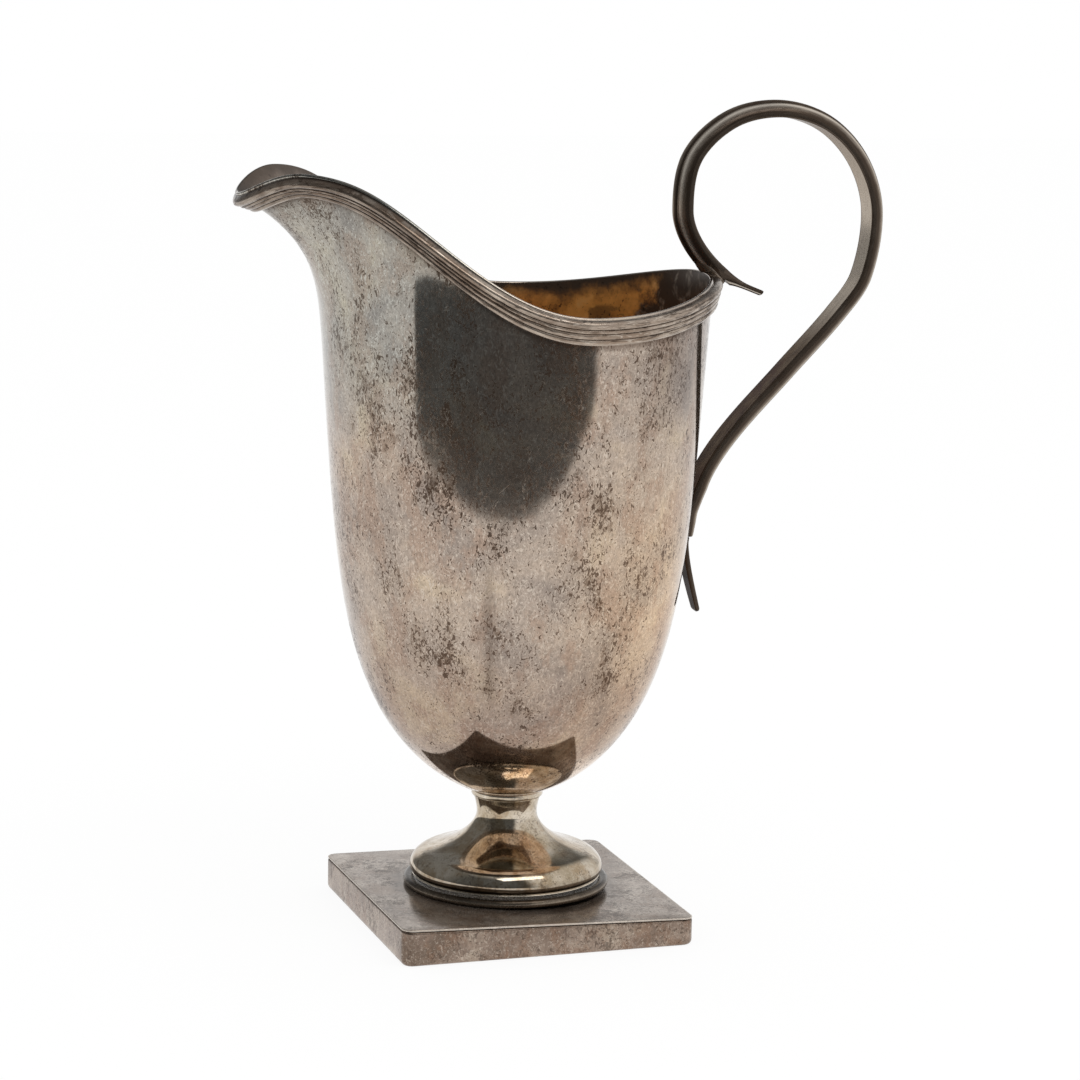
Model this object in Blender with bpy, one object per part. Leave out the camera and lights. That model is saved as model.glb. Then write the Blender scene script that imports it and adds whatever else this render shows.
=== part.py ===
"""Helmet cream jug: a raised silver bowl with a lip, a reeded rim and a looped strap handle, on a
spun pedestal and a square plinth. Metres, +Z up; the lip points to -X and the handle to +X.
The origin lies on the surface that the jug stands on, under the middle of its overall box."""

import math

import bmesh
import bpy
from mathutils import Vector

# Clearance at every soldered joint
JOINT_GAP = 0.0003

# Plinth: a square plate on a strip bent round its four sides, open below, set a little askew
PLINTH_SIDE = 0.0530
PLINTH_HEIGHT = 0.0060
PLINTH_CORNER = 0.0020
PLATE_THICKNESS = 0.0010
PLATE_ROUNDING = 0.0004
BAND_THICKNESS = 0.0012
BAND_ROUNDING = 0.0005
PLINTH_TURN = math.radians(3.84)

# Pedestal: a hollow spun stem that spreads into a domed foot, widest a little above its lower edge
PEDESTAL_HEIGHT = 0.0145
PEDESTAL_THICKNESS = 0.0009
FOOT_RADIUS = 0.0173
FOOT_WIDEST_HEIGHT = 0.0015
FOOT_DOME_HEIGHT = 0.0030
FOOT_DOME_SPREAD = 0.0027
FOOT_UNDERCUT = 0.0006
STEM_TOP_RADIUS = 0.0060
WAIST_RADIUS = 0.0054
WAIST_HEIGHT = 0.0114
FOOT_SLOPE = 0.22

# Foot ring: the turned ring between the foot's edge and the plinth
RING_HEIGHT = 0.0015
RING_OVERHANG = 0.0011
RING_LEDGE = 0.0020

# Stem collar: the thin ring at the joint of stem and bowl
COLLAR_HEIGHT = 0.0005
COLLAR_OVERHANG = 0.0004
COLLAR_LEDGE = 0.0010

# Bowl: wall radius grows as a rounded power curve, then spreads slowly to the rim
BOWL_RADIUS = 0.0348
BOWL_BELLY_HEIGHT = 0.0974
BOWL_BELLY_POWER = 5.8
BOWL_BASE_POWER = 1.73
BOWL_SPREAD = 0.183
BOWL_SHEET = 0.0007

# Rim: heights above the bowl's lowest point, angles from the handle's side
RIM_DIP_HEIGHT = 0.0890
RIM_BACK_RISE = 0.0048
RIM_CREST_RISE = 0.0222
RIM_CREST_POWER = 1.24
LIP_DROOP = 0.0041
RIM_DIP_ANGLE = math.radians(78.0)
RIM_CREST_ANGLE = math.radians(159.6)

# Lip: how far the wall is hammered out in front of the bowl's axis
LIP_REACH = 0.0494
LIP_FLANK_SHARE = 0.20
LIP_FLANK_POWER = 3.0
LIP_BEAK_POWER = 23.0
FLARE_START_HEIGHT = 0.0734
FLARE_POWER = 4.6

# Rim moulding: three reeds drawn in one wire, widest at the top
MOULDING_DROP = 0.0005
MOULDING_PROUD_TOP = 0.0018
MOULDING_PROUD_FOOT = 0.0010
TOP_REED = 0.0016
MIDDLE_REED = 0.0013
LOWER_REED = 0.0013
MOULDING_GROOVE = 0.0004

# Handle: a strap with three reeds on its outer face, filed where it meets the rim and thin at its end
STRAP_WIDTH = 0.0062
STRAP_THICKNESS = 0.0030
STRAP_EDGE = 0.0013
STRAP_REEDS = 3
STRAP_GROOVE = 0.0004
STRAP_SEAT = 0.0050
STRAP_END_ROUNDING = 0.0006
STRAP_END_THICKNESS = 0.0024
STRAP_TAPER = 0.0090
HANDLE_DROP = 0.0474
RIM_CONTACT_SLOPE = math.radians(42.0)
RIM_SEAT_DEPTH = 0.0013
RIM_SEAT_LENGTH = 0.0070
TONGUE_OUT = 0.0090
TONGUE_DROP = 0.0039
TONGUE_WIDTH = 0.0028
TONGUE_THICKNESS = 0.0010
TONGUE_GROWTH_POWER = 3.0

# Course of the strap: the loop's middle from the rim contact, shares of its radius at even steps over
# its top, places by angle and share of its radius, then places by their distances
LOOP_RADIUS = 0.01825
LOOP_OUT = 0.0113
LOOP_UP = 0.0110
LOOP_SHARES = (0.978, 1.032, 1.015, 0.98, 0.97, 0.972, 1.006)
LOOP_FALL = (math.radians(199.0), 0.93)
LOOP_SHOULDER = (math.radians(-35.0), 1.12)
RUN_TOP = (math.radians(-56.0), 1.21)
RUN_FOOT_OUT = 0.0073
RUN_FOOT_UP = 0.0139
BEND_OUT = 0.0024
BEND_UP = 0.0068
TONGUE_MIDDLE_OUT = 0.0040
TONGUE_MIDDLE_DROP = 0.0019

# Handle tail: a thin leaf that leaves the bowl below the strap
TAIL_LENGTH = 0.0131
TAIL_WIDTH = 0.0042
TAIL_TIP_WIDTH = 0.0030
TAIL_THICKNESS = 0.0012
TAIL_TIP_THICKNESS = 0.0009
TAIL_EDGE_SHARE = 0.85
TAIL_CURL = 0.0049
TAIL_CURL_POWER = 1.35

# Numbers of facets
ROUND_STEPS = 48
RIM_STEPS = 64
RIM_CROWDING = 0.4
BOWL_ROWS = 20
CORNER_STEPS = 6
SIDE_STEPS = 8
STRAP_STEPS = 72
TAIL_STEPS = 10
STEM_STEPS = 4
UNDERCUT_STEPS = 3


# Scene and pieces

def clear_scene():
    """Remove every object that the scene starts with."""
    for old in list(bpy.data.objects):
        bpy.data.objects.remove(old, do_unlink=True)


def finish(name, colour, roughness, metallic=1.0):
    """A metal finish: linear colour, roughness and metallic value on a Principled BSDF."""
    made = bpy.data.materials.new(name)
    made.use_nodes = True
    shader = made.node_tree.nodes["Principled BSDF"]
    shader.inputs["Base Color"].default_value = (*colour, 1.0)
    shader.inputs["Roughness"].default_value = roughness
    shader.inputs["Metallic"].default_value = metallic
    made.diffuse_color = (*colour, 1.0)
    return made


def add_piece(name, bm, coat, height):
    """Turn a bmesh into one named piece that stands at a height on the jug's axis."""
    mesh = bpy.data.meshes.new(name)
    bm.to_mesh(mesh)
    bm.free()
    mesh.shade_smooth()
    mesh.set_sharp_from_angle(angle=math.radians(35.0))
    mesh.materials.append(coat)
    piece = bpy.data.objects.new(name, mesh)
    piece.parent = jug_axis
    piece.location.z = height
    bpy.context.scene.collection.objects.link(piece)
    return piece


def loft(name, loops, coat, height=0.0, ring=False):
    """Join loops of equally many points, as a ring that closes on itself or with flat ends."""
    bm = bmesh.new()
    rows = [[bm.verts.new(point) for point in loop] for loop in loops]
    pairs = list(zip(rows, rows[1:]))
    if ring:
        pairs.append((rows[-1], rows[0]))
    else:
        bm.faces.new(rows[0])
        bm.faces.new(rows[-1])
    for first, second in pairs:
        for i in range(len(first)):
            bm.faces.new((first[i - 1], first[i], second[i], second[i - 1]))
    bmesh.ops.recalc_face_normals(bm, faces=bm.faces)
    return add_piece(name, bm, coat, height)


def turned(name, profile, coat, height):
    """Turn a closed profile of (radius, height) points round the jug's axis."""
    steps = [2.0 * math.pi * i / ROUND_STEPS for i in range(ROUND_STEPS)]
    loops = [[(r * math.cos(a), r * math.sin(a), z) for r, z in profile] for a in steps]
    return loft(name, loops, coat, height, ring=True)


def smooth_curve(points, steps):
    """Even points on a curve through the given ones, each with the slope between its neighbours."""
    knots = [0.0]
    for before, after in zip(points, points[1:]):
        knots.append(knots[-1] + (after - before).length)
    last = len(points) - 1
    slopes = []
    for i in range(len(points)):
        a, b = max(i - 1, 0), min(i + 1, last)
        slopes.append((points[b] - points[a]) / (knots[b] - knots[a]))
    curve = []
    for step in range(steps + 1):
        along = knots[-1] * step / steps
        i = max(k for k in range(last) if knots[k] <= along)
        span = knots[i + 1] - knots[i]
        t = (along - knots[i]) / span
        curve.append(points[i] * (1.0 + 2.0 * t) * (1.0 - t) ** 2
                     + slopes[i] * span * t * (1.0 - t) ** 2
                     + points[i + 1] * t * t * (3.0 - 2.0 * t)
                     + slopes[i + 1] * span * t * t * (t - 1.0))
    return curve


# Bowl and rim as formulas, with heights above the bowl's lowest point

def ease(x):
    """A half cosine wave that rises from 0 to 1 as x goes from 0 to 1."""
    return 0.5 - 0.5 * math.cos(math.pi * min(max(x, 0.0), 1.0))


def round_radius(z):
    """Outside radius of the round bowl at a height."""
    t = max(z, 0.0) / BOWL_BELLY_HEIGHT
    belly = (1.0 - (1.0 - min(t, 1.0)) ** BOWL_BELLY_POWER) ** (1.0 / BOWL_BASE_POWER)
    return BOWL_RADIUS * belly * (1.0 + BOWL_SPREAD * (t - 1.0))


def round_height(radius):
    """Height at which the round bowl reaches a radius, found by halving."""
    low, high = 0.0, BOWL_BELLY_HEIGHT
    for _ in range(40):
        middle = 0.5 * (low + high)
        if round_radius(middle) < radius:
            low = middle
        else:
            high = middle
    return low


def rim_height(a):
    """Height of the wall's edge: down from the back to the dip, up to the crest, down to the lip."""
    back = RIM_BACK_RISE * (1.0 - ease(a / RIM_DIP_ANGLE))
    climb = ease((a - RIM_DIP_ANGLE) / (RIM_CREST_ANGLE - RIM_DIP_ANGLE)) ** RIM_CREST_POWER
    droop = ease((a - RIM_CREST_ANGLE) / (math.pi - RIM_CREST_ANGLE))
    return RIM_DIP_HEIGHT + back + RIM_CREST_RISE * climb - LIP_DROOP * droop


def wall_radius(a, z):
    """Outside radius of the wall: the round bowl, hammered out towards the lip near the rim."""
    top = rim_height(a)
    front = 0.5 - 0.5 * math.cos(a)
    lip = LIP_FLANK_SHARE * front ** LIP_FLANK_POWER + (1.0 - LIP_FLANK_SHARE) * front ** LIP_BEAK_POWER
    rise = max(z - FLARE_START_HEIGHT, 0.0) / (top - FLARE_START_HEIGHT)
    return round_radius(z) + lip * (LIP_REACH - round_radius(top)) * rise ** FLARE_POWER


def wall_point(angle, z):
    """Point on the wall's outside; the angle runs right round from the handle's side."""
    a = abs(math.remainder(angle, 2.0 * math.pi))
    r = wall_radius(a, z)
    return Vector((r * math.cos(angle), r * math.sin(angle), z))


def wall_normal(angle, z):
    """Outward direction of the wall, from two short steps along it."""
    step = 1e-4
    along = wall_point(angle + step, z) - wall_point(angle - step, z)
    up = wall_point(angle, z + step) - wall_point(angle, z - step)
    return along.cross(up).normalized()


def rim_angles():
    """Angles right round the rim, crowded towards the lip where the wall turns sharply."""
    even = [2.0 * math.pi * i / RIM_STEPS for i in range(RIM_STEPS)]
    return [a + RIM_CROWDING * math.sin(a) for a in even]


def below_rim(angle, distance):
    """Height of the point that lies a distance down the wall from its edge."""
    a = abs(math.remainder(angle, 2.0 * math.pi))
    z = rim_height(a)
    steps = 8
    for _ in range(steps):
        slope = (wall_radius(a, z) - wall_radius(a, z - 1e-4)) / 1e-4
        z -= distance / steps / math.hypot(1.0, slope)
    return z


# Stacking heights, from the table up
plate_base = PLINTH_HEIGHT - PLATE_THICKNESS
ring_base = PLINTH_HEIGHT + JOINT_GAP
pedestal_base = ring_base + RING_HEIGHT + JOINT_GAP
collar_base = pedestal_base + PEDESTAL_HEIGHT + JOINT_GAP
collar_radius = STEM_TOP_RADIUS + COLLAR_OVERHANG
bowl_base = collar_base + COLLAR_HEIGHT + JOINT_GAP - round_height(collar_radius)


# Plinth

def rounded_square(side, corner, z):
    """Points round a square with round corners, at one height."""
    half = side / 2.0
    points = []
    for quarter in range(4):
        start = math.pi / 2.0 * quarter
        middle = start + math.pi / 4.0
        end = start + math.pi / 2.0
        for i in range(CORNER_STEPS):
            a = start + (end - start) * i / (CORNER_STEPS - 1)
            x = math.copysign(half - corner, math.cos(middle)) + corner * math.cos(a)
            y = math.copysign(half - corner, math.sin(middle)) + corner * math.sin(a)
            points.append((x, y, z))
        for i in range(1, SIDE_STEPS):
            a = middle + math.pi / 2.0 * i / SIDE_STEPS
            reach = half / math.cos(a - end)
            points.append((reach * math.cos(a), reach * math.sin(a), z))
    return points


def rounded_edge(rounding, start, end):
    """Insets and rises of a quarter-round edge between two angles."""
    angles = [start + (end - start) * i / 3.0 for i in range(4)]
    return [(rounding * (1.0 - math.cos(a)), rounding * math.sin(a)) for a in angles]


def inset_square(inset, z):
    """The plinth's outline drawn in by an inset."""
    return rounded_square(PLINTH_SIDE - 2.0 * inset, PLINTH_CORNER - inset, z)


def make_plinth_band():
    """The strip round the sides, flat below with a softened outer edge."""
    top = plate_base - JOINT_GAP
    inside = rounded_square(PLINTH_SIDE - 2.0 * BAND_THICKNESS,
                            max(PLINTH_CORNER - BAND_THICKNESS, JOINT_GAP), 0.0)
    loops = [inside]
    for inset, fall in rounded_edge(BAND_ROUNDING, -math.pi / 2.0, 0.0):
        loops.append(inset_square(inset, BAND_ROUNDING + fall))
    loops.append(inset_square(0.0, top))
    loops.append([(x, y, top) for x, y, _ in inside])
    band = loft("plinth_band", loops, plinth_finish, ring=True)
    band.rotation_euler.z = PLINTH_TURN


def make_plinth_plate():
    """The square top, with a softened upper edge and a round hole under the hollow foot."""
    hole = FOOT_RADIUS - RING_LEDGE
    outline = inset_square(0.0, 0.0)
    circle = [Vector((x, y, 0.0)).normalized() * hole for x, y, _ in outline]
    loops = [circle, outline]
    for inset, rise in rounded_edge(PLATE_ROUNDING, 0.0, math.pi / 2.0):
        loops.append(inset_square(inset, PLATE_THICKNESS - PLATE_ROUNDING + rise))
    loops.append([(x, y, PLATE_THICKNESS) for x, y, _ in circle])
    plate = loft("plinth_plate", loops, plinth_finish, plate_base, ring=True)
    plate.rotation_euler.z = PLINTH_TURN


# Foot ring, pedestal and collar

def make_foot_ring():
    """A ring with a half-round outer side."""
    inner = FOOT_RADIUS - RING_LEDGE
    bulge = RING_HEIGHT / 2.0
    middle = FOOT_RADIUS + RING_OVERHANG - bulge
    angles = [math.pi / 2.0 - math.pi * i / 6.0 for i in range(7)]
    side = [(middle + bulge * math.cos(a), bulge + bulge * math.sin(a)) for a in angles]
    turned("foot_ring", [(inner, RING_HEIGHT)] + side + [(inner, 0.0)], pedestal_finish, ring_base)


def pedestal_side(thickness):
    """Profile from the stem's top down to the foot's edge, drawn in by a thickness."""
    edge = FOOT_RADIUS - thickness
    waist = WAIST_RADIUS - thickness
    top = STEM_TOP_RADIUS - thickness
    dome = FOOT_WIDEST_HEIGHT + FOOT_DOME_HEIGHT - thickness
    points = []
    for i in range(STEM_STEPS):
        t = i / STEM_STEPS
        points.append((top + (waist - top) * math.sin(math.pi / 2.0 * t),
                       PEDESTAL_HEIGHT + (WAIST_HEIGHT - PEDESTAL_HEIGHT) * t))
    spread = edge - FOOT_DOME_SPREAD
    fall = WAIST_HEIGHT - dome - FOOT_SLOPE * (spread - waist)
    for i in range(2 * STEM_STEPS):
        a = math.pi / 2.0 * i / (2 * STEM_STEPS)
        radius = spread + (waist - spread) * math.cos(a)
        points.append((radius, WAIST_HEIGHT - fall * math.sin(a) - FOOT_SLOPE * (radius - waist)))
    for i in range(STEM_STEPS):
        a = math.pi / 2.0 * i / (STEM_STEPS - 1)
        lean = FOOT_SLOPE * FOOT_DOME_SPREAD * (1.0 - math.sin(a) - math.cos(a))
        points.append((spread + FOOT_DOME_SPREAD * math.sin(a),
                       FOOT_WIDEST_HEIGHT + (dome - FOOT_WIDEST_HEIGHT) * math.cos(a) + lean))
    for i in range(1, UNDERCUT_STEPS + 1):
        t = i / UNDERCUT_STEPS
        points.append((edge - FOOT_UNDERCUT * t ** 2, FOOT_WIDEST_HEIGHT * (1.0 - t)))
    return points


def make_pedestal():
    """The hollow stem and foot, one spun sheet."""
    outside = pedestal_side(0.0)
    inside = pedestal_side(PEDESTAL_THICKNESS)
    turned("pedestal", outside + inside[::-1], pedestal_finish, pedestal_base)


def make_stem_collar():
    """A thin ring whose upper face follows the bowl's underside."""
    inner = STEM_TOP_RADIUS - COLLAR_LEDGE
    seat = bowl_base - collar_base - JOINT_GAP
    face = [inner + (collar_radius - inner) * i / 3.0 for i in range(4)]
    top = [(r, round_height(r) + seat) for r in face]
    turned("stem_collar", top + [(collar_radius, 0.0), (inner, 0.0)], pedestal_finish, collar_base)


# Bowl

def make_bowl():
    """Rings of points from the rim down to the lowest point, then the sheet's thickness inwards."""
    bm = bmesh.new()
    rows = []
    for row in range(BOWL_ROWS):
        share = 1.0 - ease(row / BOWL_ROWS)
        rows.append([])
        for angle in rim_angles():
            edge = rim_height(abs(math.remainder(angle, 2.0 * math.pi)))
            rows[-1].append(bm.verts.new(wall_point(angle, edge * share)))
    lowest = bm.verts.new((0.0, 0.0, 0.0))
    for upper, lower in zip(rows, rows[1:]):
        for i in range(RIM_STEPS):
            bm.faces.new((upper[i], upper[i - 1], lower[i - 1], lower[i]))
    for i in range(RIM_STEPS):
        bm.faces.new((rows[-1][i], rows[-1][i - 1], lowest))
    bowl = add_piece("bowl", bm, bowl_finish, bowl_base)
    sheet = bowl.modifiers.new("sheet", "SOLIDIFY")
    sheet.thickness = BOWL_SHEET
    sheet.offset = -1.0
    sheet.use_even_offset = True


# Rim moulding

def moulding_profile():
    """(distance down the wall, distance out from it) round the wire's section, reeds first."""
    reeds = (TOP_REED, MIDDLE_REED, LOWER_REED)
    width = sum(reeds)
    points = []
    start = 0.0
    for reed in reeds:
        for share in (0.0, 0.2, 0.5, 0.8):
            down = start + reed * share
            proud = MOULDING_PROUD_TOP + (MOULDING_PROUD_FOOT - MOULDING_PROUD_TOP) * down / width
            round_off = math.sqrt(1.0 - (2.0 * share - 1.0) ** 2)
            points.append((MOULDING_DROP + down, proud - MOULDING_GROOVE * (1.0 - round_off)))
        start += reed
    for share in (1.0, 0.67, 0.33, 0.0):
        points.append((MOULDING_DROP + width * share, JOINT_GAP))
    return points


def moulding_section(angle):
    """The wire's section laid on the wall at one angle."""
    section = []
    for down, out in moulding_profile():
        z = below_rim(angle, down)
        section.append(wall_point(angle, z) + out * wall_normal(angle, z))
    return section


def make_rim_moulding():
    """The reeded wire, carried right round the bowl's edge."""
    loops = [moulding_section(angle) for angle in rim_angles()]
    loft("rim_moulding", loops, rim_finish, bowl_base, ring=True)


# Handle

def strap_section(width, thickness, edge, reeds=1, groove=0.0, filed=0.0, sunk=0.0):
    """(across, outwards) round a strap's section: plain inner face, crowned and reeded outer face,
    which may be filed flat by a depth. The section may be sunk below the middle line."""
    points = [(-width / 2.0, -thickness / 2.0 - sunk), (width / 2.0, -thickness / 2.0 - sunk)]
    steps = 3 * reeds
    for i in range(steps + 1):
        across = 0.5 - i / steps
        crown = thickness / 2.0 - (thickness - edge) * (2.0 * across) ** 2
        dip = 0.0 if i % 3 else groove
        points.append((width * across, min(crown - dip, thickness / 2.0 - filed) - sunk))
    return points


def handle_path():
    """Middle line of the strap from the tongue's tip over the loop to its end on the bowl."""
    half = STRAP_THICKNESS / 2.0
    towards = Vector((math.sin(RIM_CONTACT_SLOPE), 0.0, math.cos(RIM_CONTACT_SLOPE)))
    rim = moulding_section(0.0) + [wall_point(0.0, rim_height(0.0))]
    contact = max(rim, key=towards.dot) + towards * (half - RIM_SEAT_DEPTH + JOINT_GAP)
    loop = contact + Vector((LOOP_OUT, 0.0, LOOP_UP))
    end_height = rim_height(0.0) - HANDLE_DROP

    def on_loop(angle, share):
        return loop + share * LOOP_RADIUS * Vector((math.cos(angle), 0.0, math.sin(angle)))

    def on_bowl(height):
        return wall_point(0.0, height) + (half + JOINT_GAP) * wall_normal(0.0, height)

    end = on_bowl(end_height)
    seat = on_bowl(end_height + STRAP_SEAT)
    tongue_tip = contact + Vector((TONGUE_OUT, 0.0, -TONGUE_DROP))
    tongue_middle = contact + Vector((TONGUE_MIDDLE_OUT, 0.0, -TONGUE_MIDDLE_DROP))
    step = math.pi / (len(LOOP_SHARES) - 1)
    over_the_top = [on_loop(math.pi - i * step, share) for i, share in enumerate(LOOP_SHARES)]
    run_top = on_loop(*RUN_TOP)
    run_foot = seat + Vector((RUN_FOOT_OUT, 0.0, RUN_FOOT_UP))
    bend = seat + Vector((BEND_OUT, 0.0, BEND_UP))
    return [tongue_tip, tongue_middle, contact, on_loop(*LOOP_FALL), *over_the_top, on_loop(*LOOP_SHOULDER),
            run_top, run_top.lerp(run_foot, 0.5), run_foot, bend, seat, seat.lerp(end, 0.5), end]


def sweep_sections(path, sections):
    """Sections set square to a path in the jug's middle plane, outer face to the left of its run."""
    loops = []
    last = len(path) - 1
    for i, section in enumerate(sections):
        run = (path[min(i + 1, last)] - path[max(i - 1, 0)]).normalized()
        out = Vector((-run.z, 0.0, run.x))
        loops.append([path[i] + out * n + Vector((0.0, y, 0.0)) for y, n in section])
    return loops


def make_handle():
    """The strap, drawn out thin at its tongue and tapered on its outer face to its lower end."""
    route = handle_path()
    contact = route[2]
    path = smooth_curve(route, STRAP_STEPS)
    tongue = math.hypot(TONGUE_OUT, TONGUE_DROP)
    tip_thickness = TONGUE_THICKNESS / STRAP_THICKNESS
    tip_width = TONGUE_WIDTH / STRAP_WIDTH
    end_loss = 1.0 - STRAP_END_THICKNESS / STRAP_THICKNESS
    length = sum((after - point).length for point, after in zip(path, path[1:]))
    sections = []
    along = 0.0
    for i, point in enumerate(path):
        along += (point - path[max(i - 1, 0)]).length
        grow = ease(along / tongue) ** TONGUE_GROWTH_POWER
        wide = tip_width + (1.0 - tip_width) * grow
        loss = end_loss * max(1.0 - (length - along) / STRAP_TAPER, 0.0)
        thick = tip_thickness + (1.0 - tip_thickness) * grow - loss
        if i == STRAP_STEPS:
            wide -= STRAP_END_ROUNDING / STRAP_WIDTH
        from_seat = (point - contact).length / (RIM_SEAT_LENGTH / 2.0)
        filed = RIM_SEAT_DEPTH * max(1.0 - from_seat ** 2, 0.0)
        sections.append(strap_section(STRAP_WIDTH * wide, STRAP_THICKNESS * thick, STRAP_EDGE * thick,
                                      STRAP_REEDS, STRAP_GROOVE * thick * grow, filed,
                                      STRAP_THICKNESS * loss / 2.0))
    loops = sweep_sections(path, sections)
    loft("handle", loops, handle_finish, bowl_base)
    return max(point.x for loop in loops for point in loop)


def make_handle_tail():
    """The leaf below the strap: on the bowl at first, then curling out and narrowing to its tip."""
    start = rim_height(0.0) - HANDLE_DROP - STRAP_END_ROUNDING - JOINT_GAP
    path = []
    sections = []
    for i in range(TAIL_STEPS + 1):
        t = i / TAIL_STEPS
        z = start - TAIL_LENGTH * t
        thickness = TAIL_THICKNESS + (TAIL_TIP_THICKNESS - TAIL_THICKNESS) * t
        width = TAIL_WIDTH + (TAIL_TIP_WIDTH - TAIL_WIDTH) * t ** 3
        stand_off = JOINT_GAP + TAIL_THICKNESS / 2.0 + TAIL_CURL * t ** TAIL_CURL_POWER
        path.append(Vector((round_radius(z) + stand_off, 0.0, z)))
        sections.append(strap_section(width, thickness, TAIL_EDGE_SHARE * thickness))
    loft("handle_tail", sweep_sections(path, sections), handle_finish, bowl_base)


# Assembly
clear_scene()
jug_axis = bpy.data.objects.new("jug_axis", None)
bpy.context.scene.collection.objects.link(jug_axis)

bowl_finish = finish("tarnished_silver", (0.40, 0.35, 0.30), 0.30)
rim_finish = finish("worn_reeded_silver", (0.36, 0.31, 0.27), 0.38)
handle_finish = finish("dark_reeded_silver", (0.28, 0.25, 0.22), 0.34)
pedestal_finish = finish("polished_silver", (0.46, 0.40, 0.33), 0.18)
plinth_finish = finish("brown_tarnished_silver", (0.36, 0.30, 0.26), 0.36)

make_plinth_band()
make_plinth_plate()
make_foot_ring()
make_pedestal()
make_stem_collar()
make_bowl()
make_rim_moulding()
handle_reach = make_handle()
make_handle_tail()

# The box's middle lies over the origin
lip_reach = max(-point.x for point in moulding_section(math.pi))
jug_axis.location.x = (lip_reach - handle_reach) / 2.0
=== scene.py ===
"""Looks of the helmet cream jug: a tarnished silver bowl with a gilt inside, a reeded rim and a looped
strap handle, on a spun pedestal and a square plinth. Lengths are millimetres from the jug's axis and the
table, and each piece's mesh turns them into the frame's metres."""

import math

import bpy
import numpy as np
from mathutils import Matrix, Vector


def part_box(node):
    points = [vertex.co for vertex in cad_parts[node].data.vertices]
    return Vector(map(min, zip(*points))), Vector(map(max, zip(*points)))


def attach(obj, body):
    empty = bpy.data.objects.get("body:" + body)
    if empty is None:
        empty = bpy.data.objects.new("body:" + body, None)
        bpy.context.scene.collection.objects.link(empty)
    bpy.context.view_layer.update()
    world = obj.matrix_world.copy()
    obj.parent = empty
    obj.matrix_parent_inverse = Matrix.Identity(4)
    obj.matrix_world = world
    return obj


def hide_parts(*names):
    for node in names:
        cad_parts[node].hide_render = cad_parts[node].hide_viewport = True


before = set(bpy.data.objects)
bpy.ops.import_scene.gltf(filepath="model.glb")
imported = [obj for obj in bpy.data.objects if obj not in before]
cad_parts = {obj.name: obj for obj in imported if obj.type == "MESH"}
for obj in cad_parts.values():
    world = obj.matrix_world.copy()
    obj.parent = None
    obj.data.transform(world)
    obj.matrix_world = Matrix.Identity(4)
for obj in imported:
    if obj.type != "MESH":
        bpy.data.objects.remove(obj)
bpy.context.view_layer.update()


# Plinth band
# A strip of sheet silver bent round the four sides of the plinth and soldered under its plate. It is
# open below, tarnished brown-grey, scratched from handling and worn pale along its edges.
MM = 0.001
PLINTH_SIDE = 53.0
PLINTH_CORNER = 2.0
PLINTH_TURN = math.radians(3.84)
PLATE_FALL = 0.15
PLATE_EDGE = 0.32
PLATE_SLOPE = -0.57
PLATE_TWIST = 0.22
BAND_THICKNESS = 1.2
BAND_FOOT_ROUNDING = 1.1
BAND_TOP_ROUNDING = 0.35
BAND_BACK_ROUNDING = 0.15
SEAM = 0.14
SEAM_DIRT = 0.5
SEAM_DIRT_WIDTH = 0.3
CORNER_STEPS = 14
SIDE_STEPS = 22
ROUNDING_STEPS = 7
# How strongly one slow pattern gathers the patches and the flecks of a finish, and how far from its line a
# scratch begins to fade and is gone
PATCH_GATHERING = 0.8
FLECK_GATHERING = 0.6
SCRATCH_SPAN = (0.02, 0.07)

pedestal_low, pedestal_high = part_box("pedestal")
axis_x = (pedestal_low[0] + pedestal_high[0]) / 2.0
plate_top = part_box("plinth_plate")[1][2] / MM
band_top = plate_top - PLATE_FALL - PLATE_EDGE - SEAM


def linear(colour):
    """Linear colour of an sRGB hex value, with an alpha of 1."""
    srgb = np.array([int(colour[i:i + 2], 16) for i in (1, 3, 5)]) / 255.0
    rgb = np.where(srgb <= 0.04045, srgb / 12.92, ((srgb + 0.055) / 1.055) ** 2.4)
    return (*rgb.tolist(), 1.0)


def add(tree, kind, inputs=None, stops=(), **settings):
    """Adds one shader node: its settings, its inputs as values or as links from sockets, and the stops of
    its colour ramp as (place, colour) pairs."""
    made = tree.nodes.new("ShaderNode" + kind)
    for name, value in settings.items():
        setattr(made, name, value)
    for key, value in (inputs or {}).items():
        if isinstance(value, bpy.types.NodeSocket):
            tree.links.new(value, made.inputs[key])
        else:
            made.inputs[key].default_value = value
    if stops:
        ramp = made.color_ramp.elements
        ramp[0].position = stops[0][0]
        ramp[0].color = linear(stops[0][1])
        ramp[-1].position = stops[-1][0]
        ramp[-1].color = linear(stops[-1][1])
        for place, colour in stops[1:-1]:
            ramp.new(place).color = linear(colour)
    return made


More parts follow.
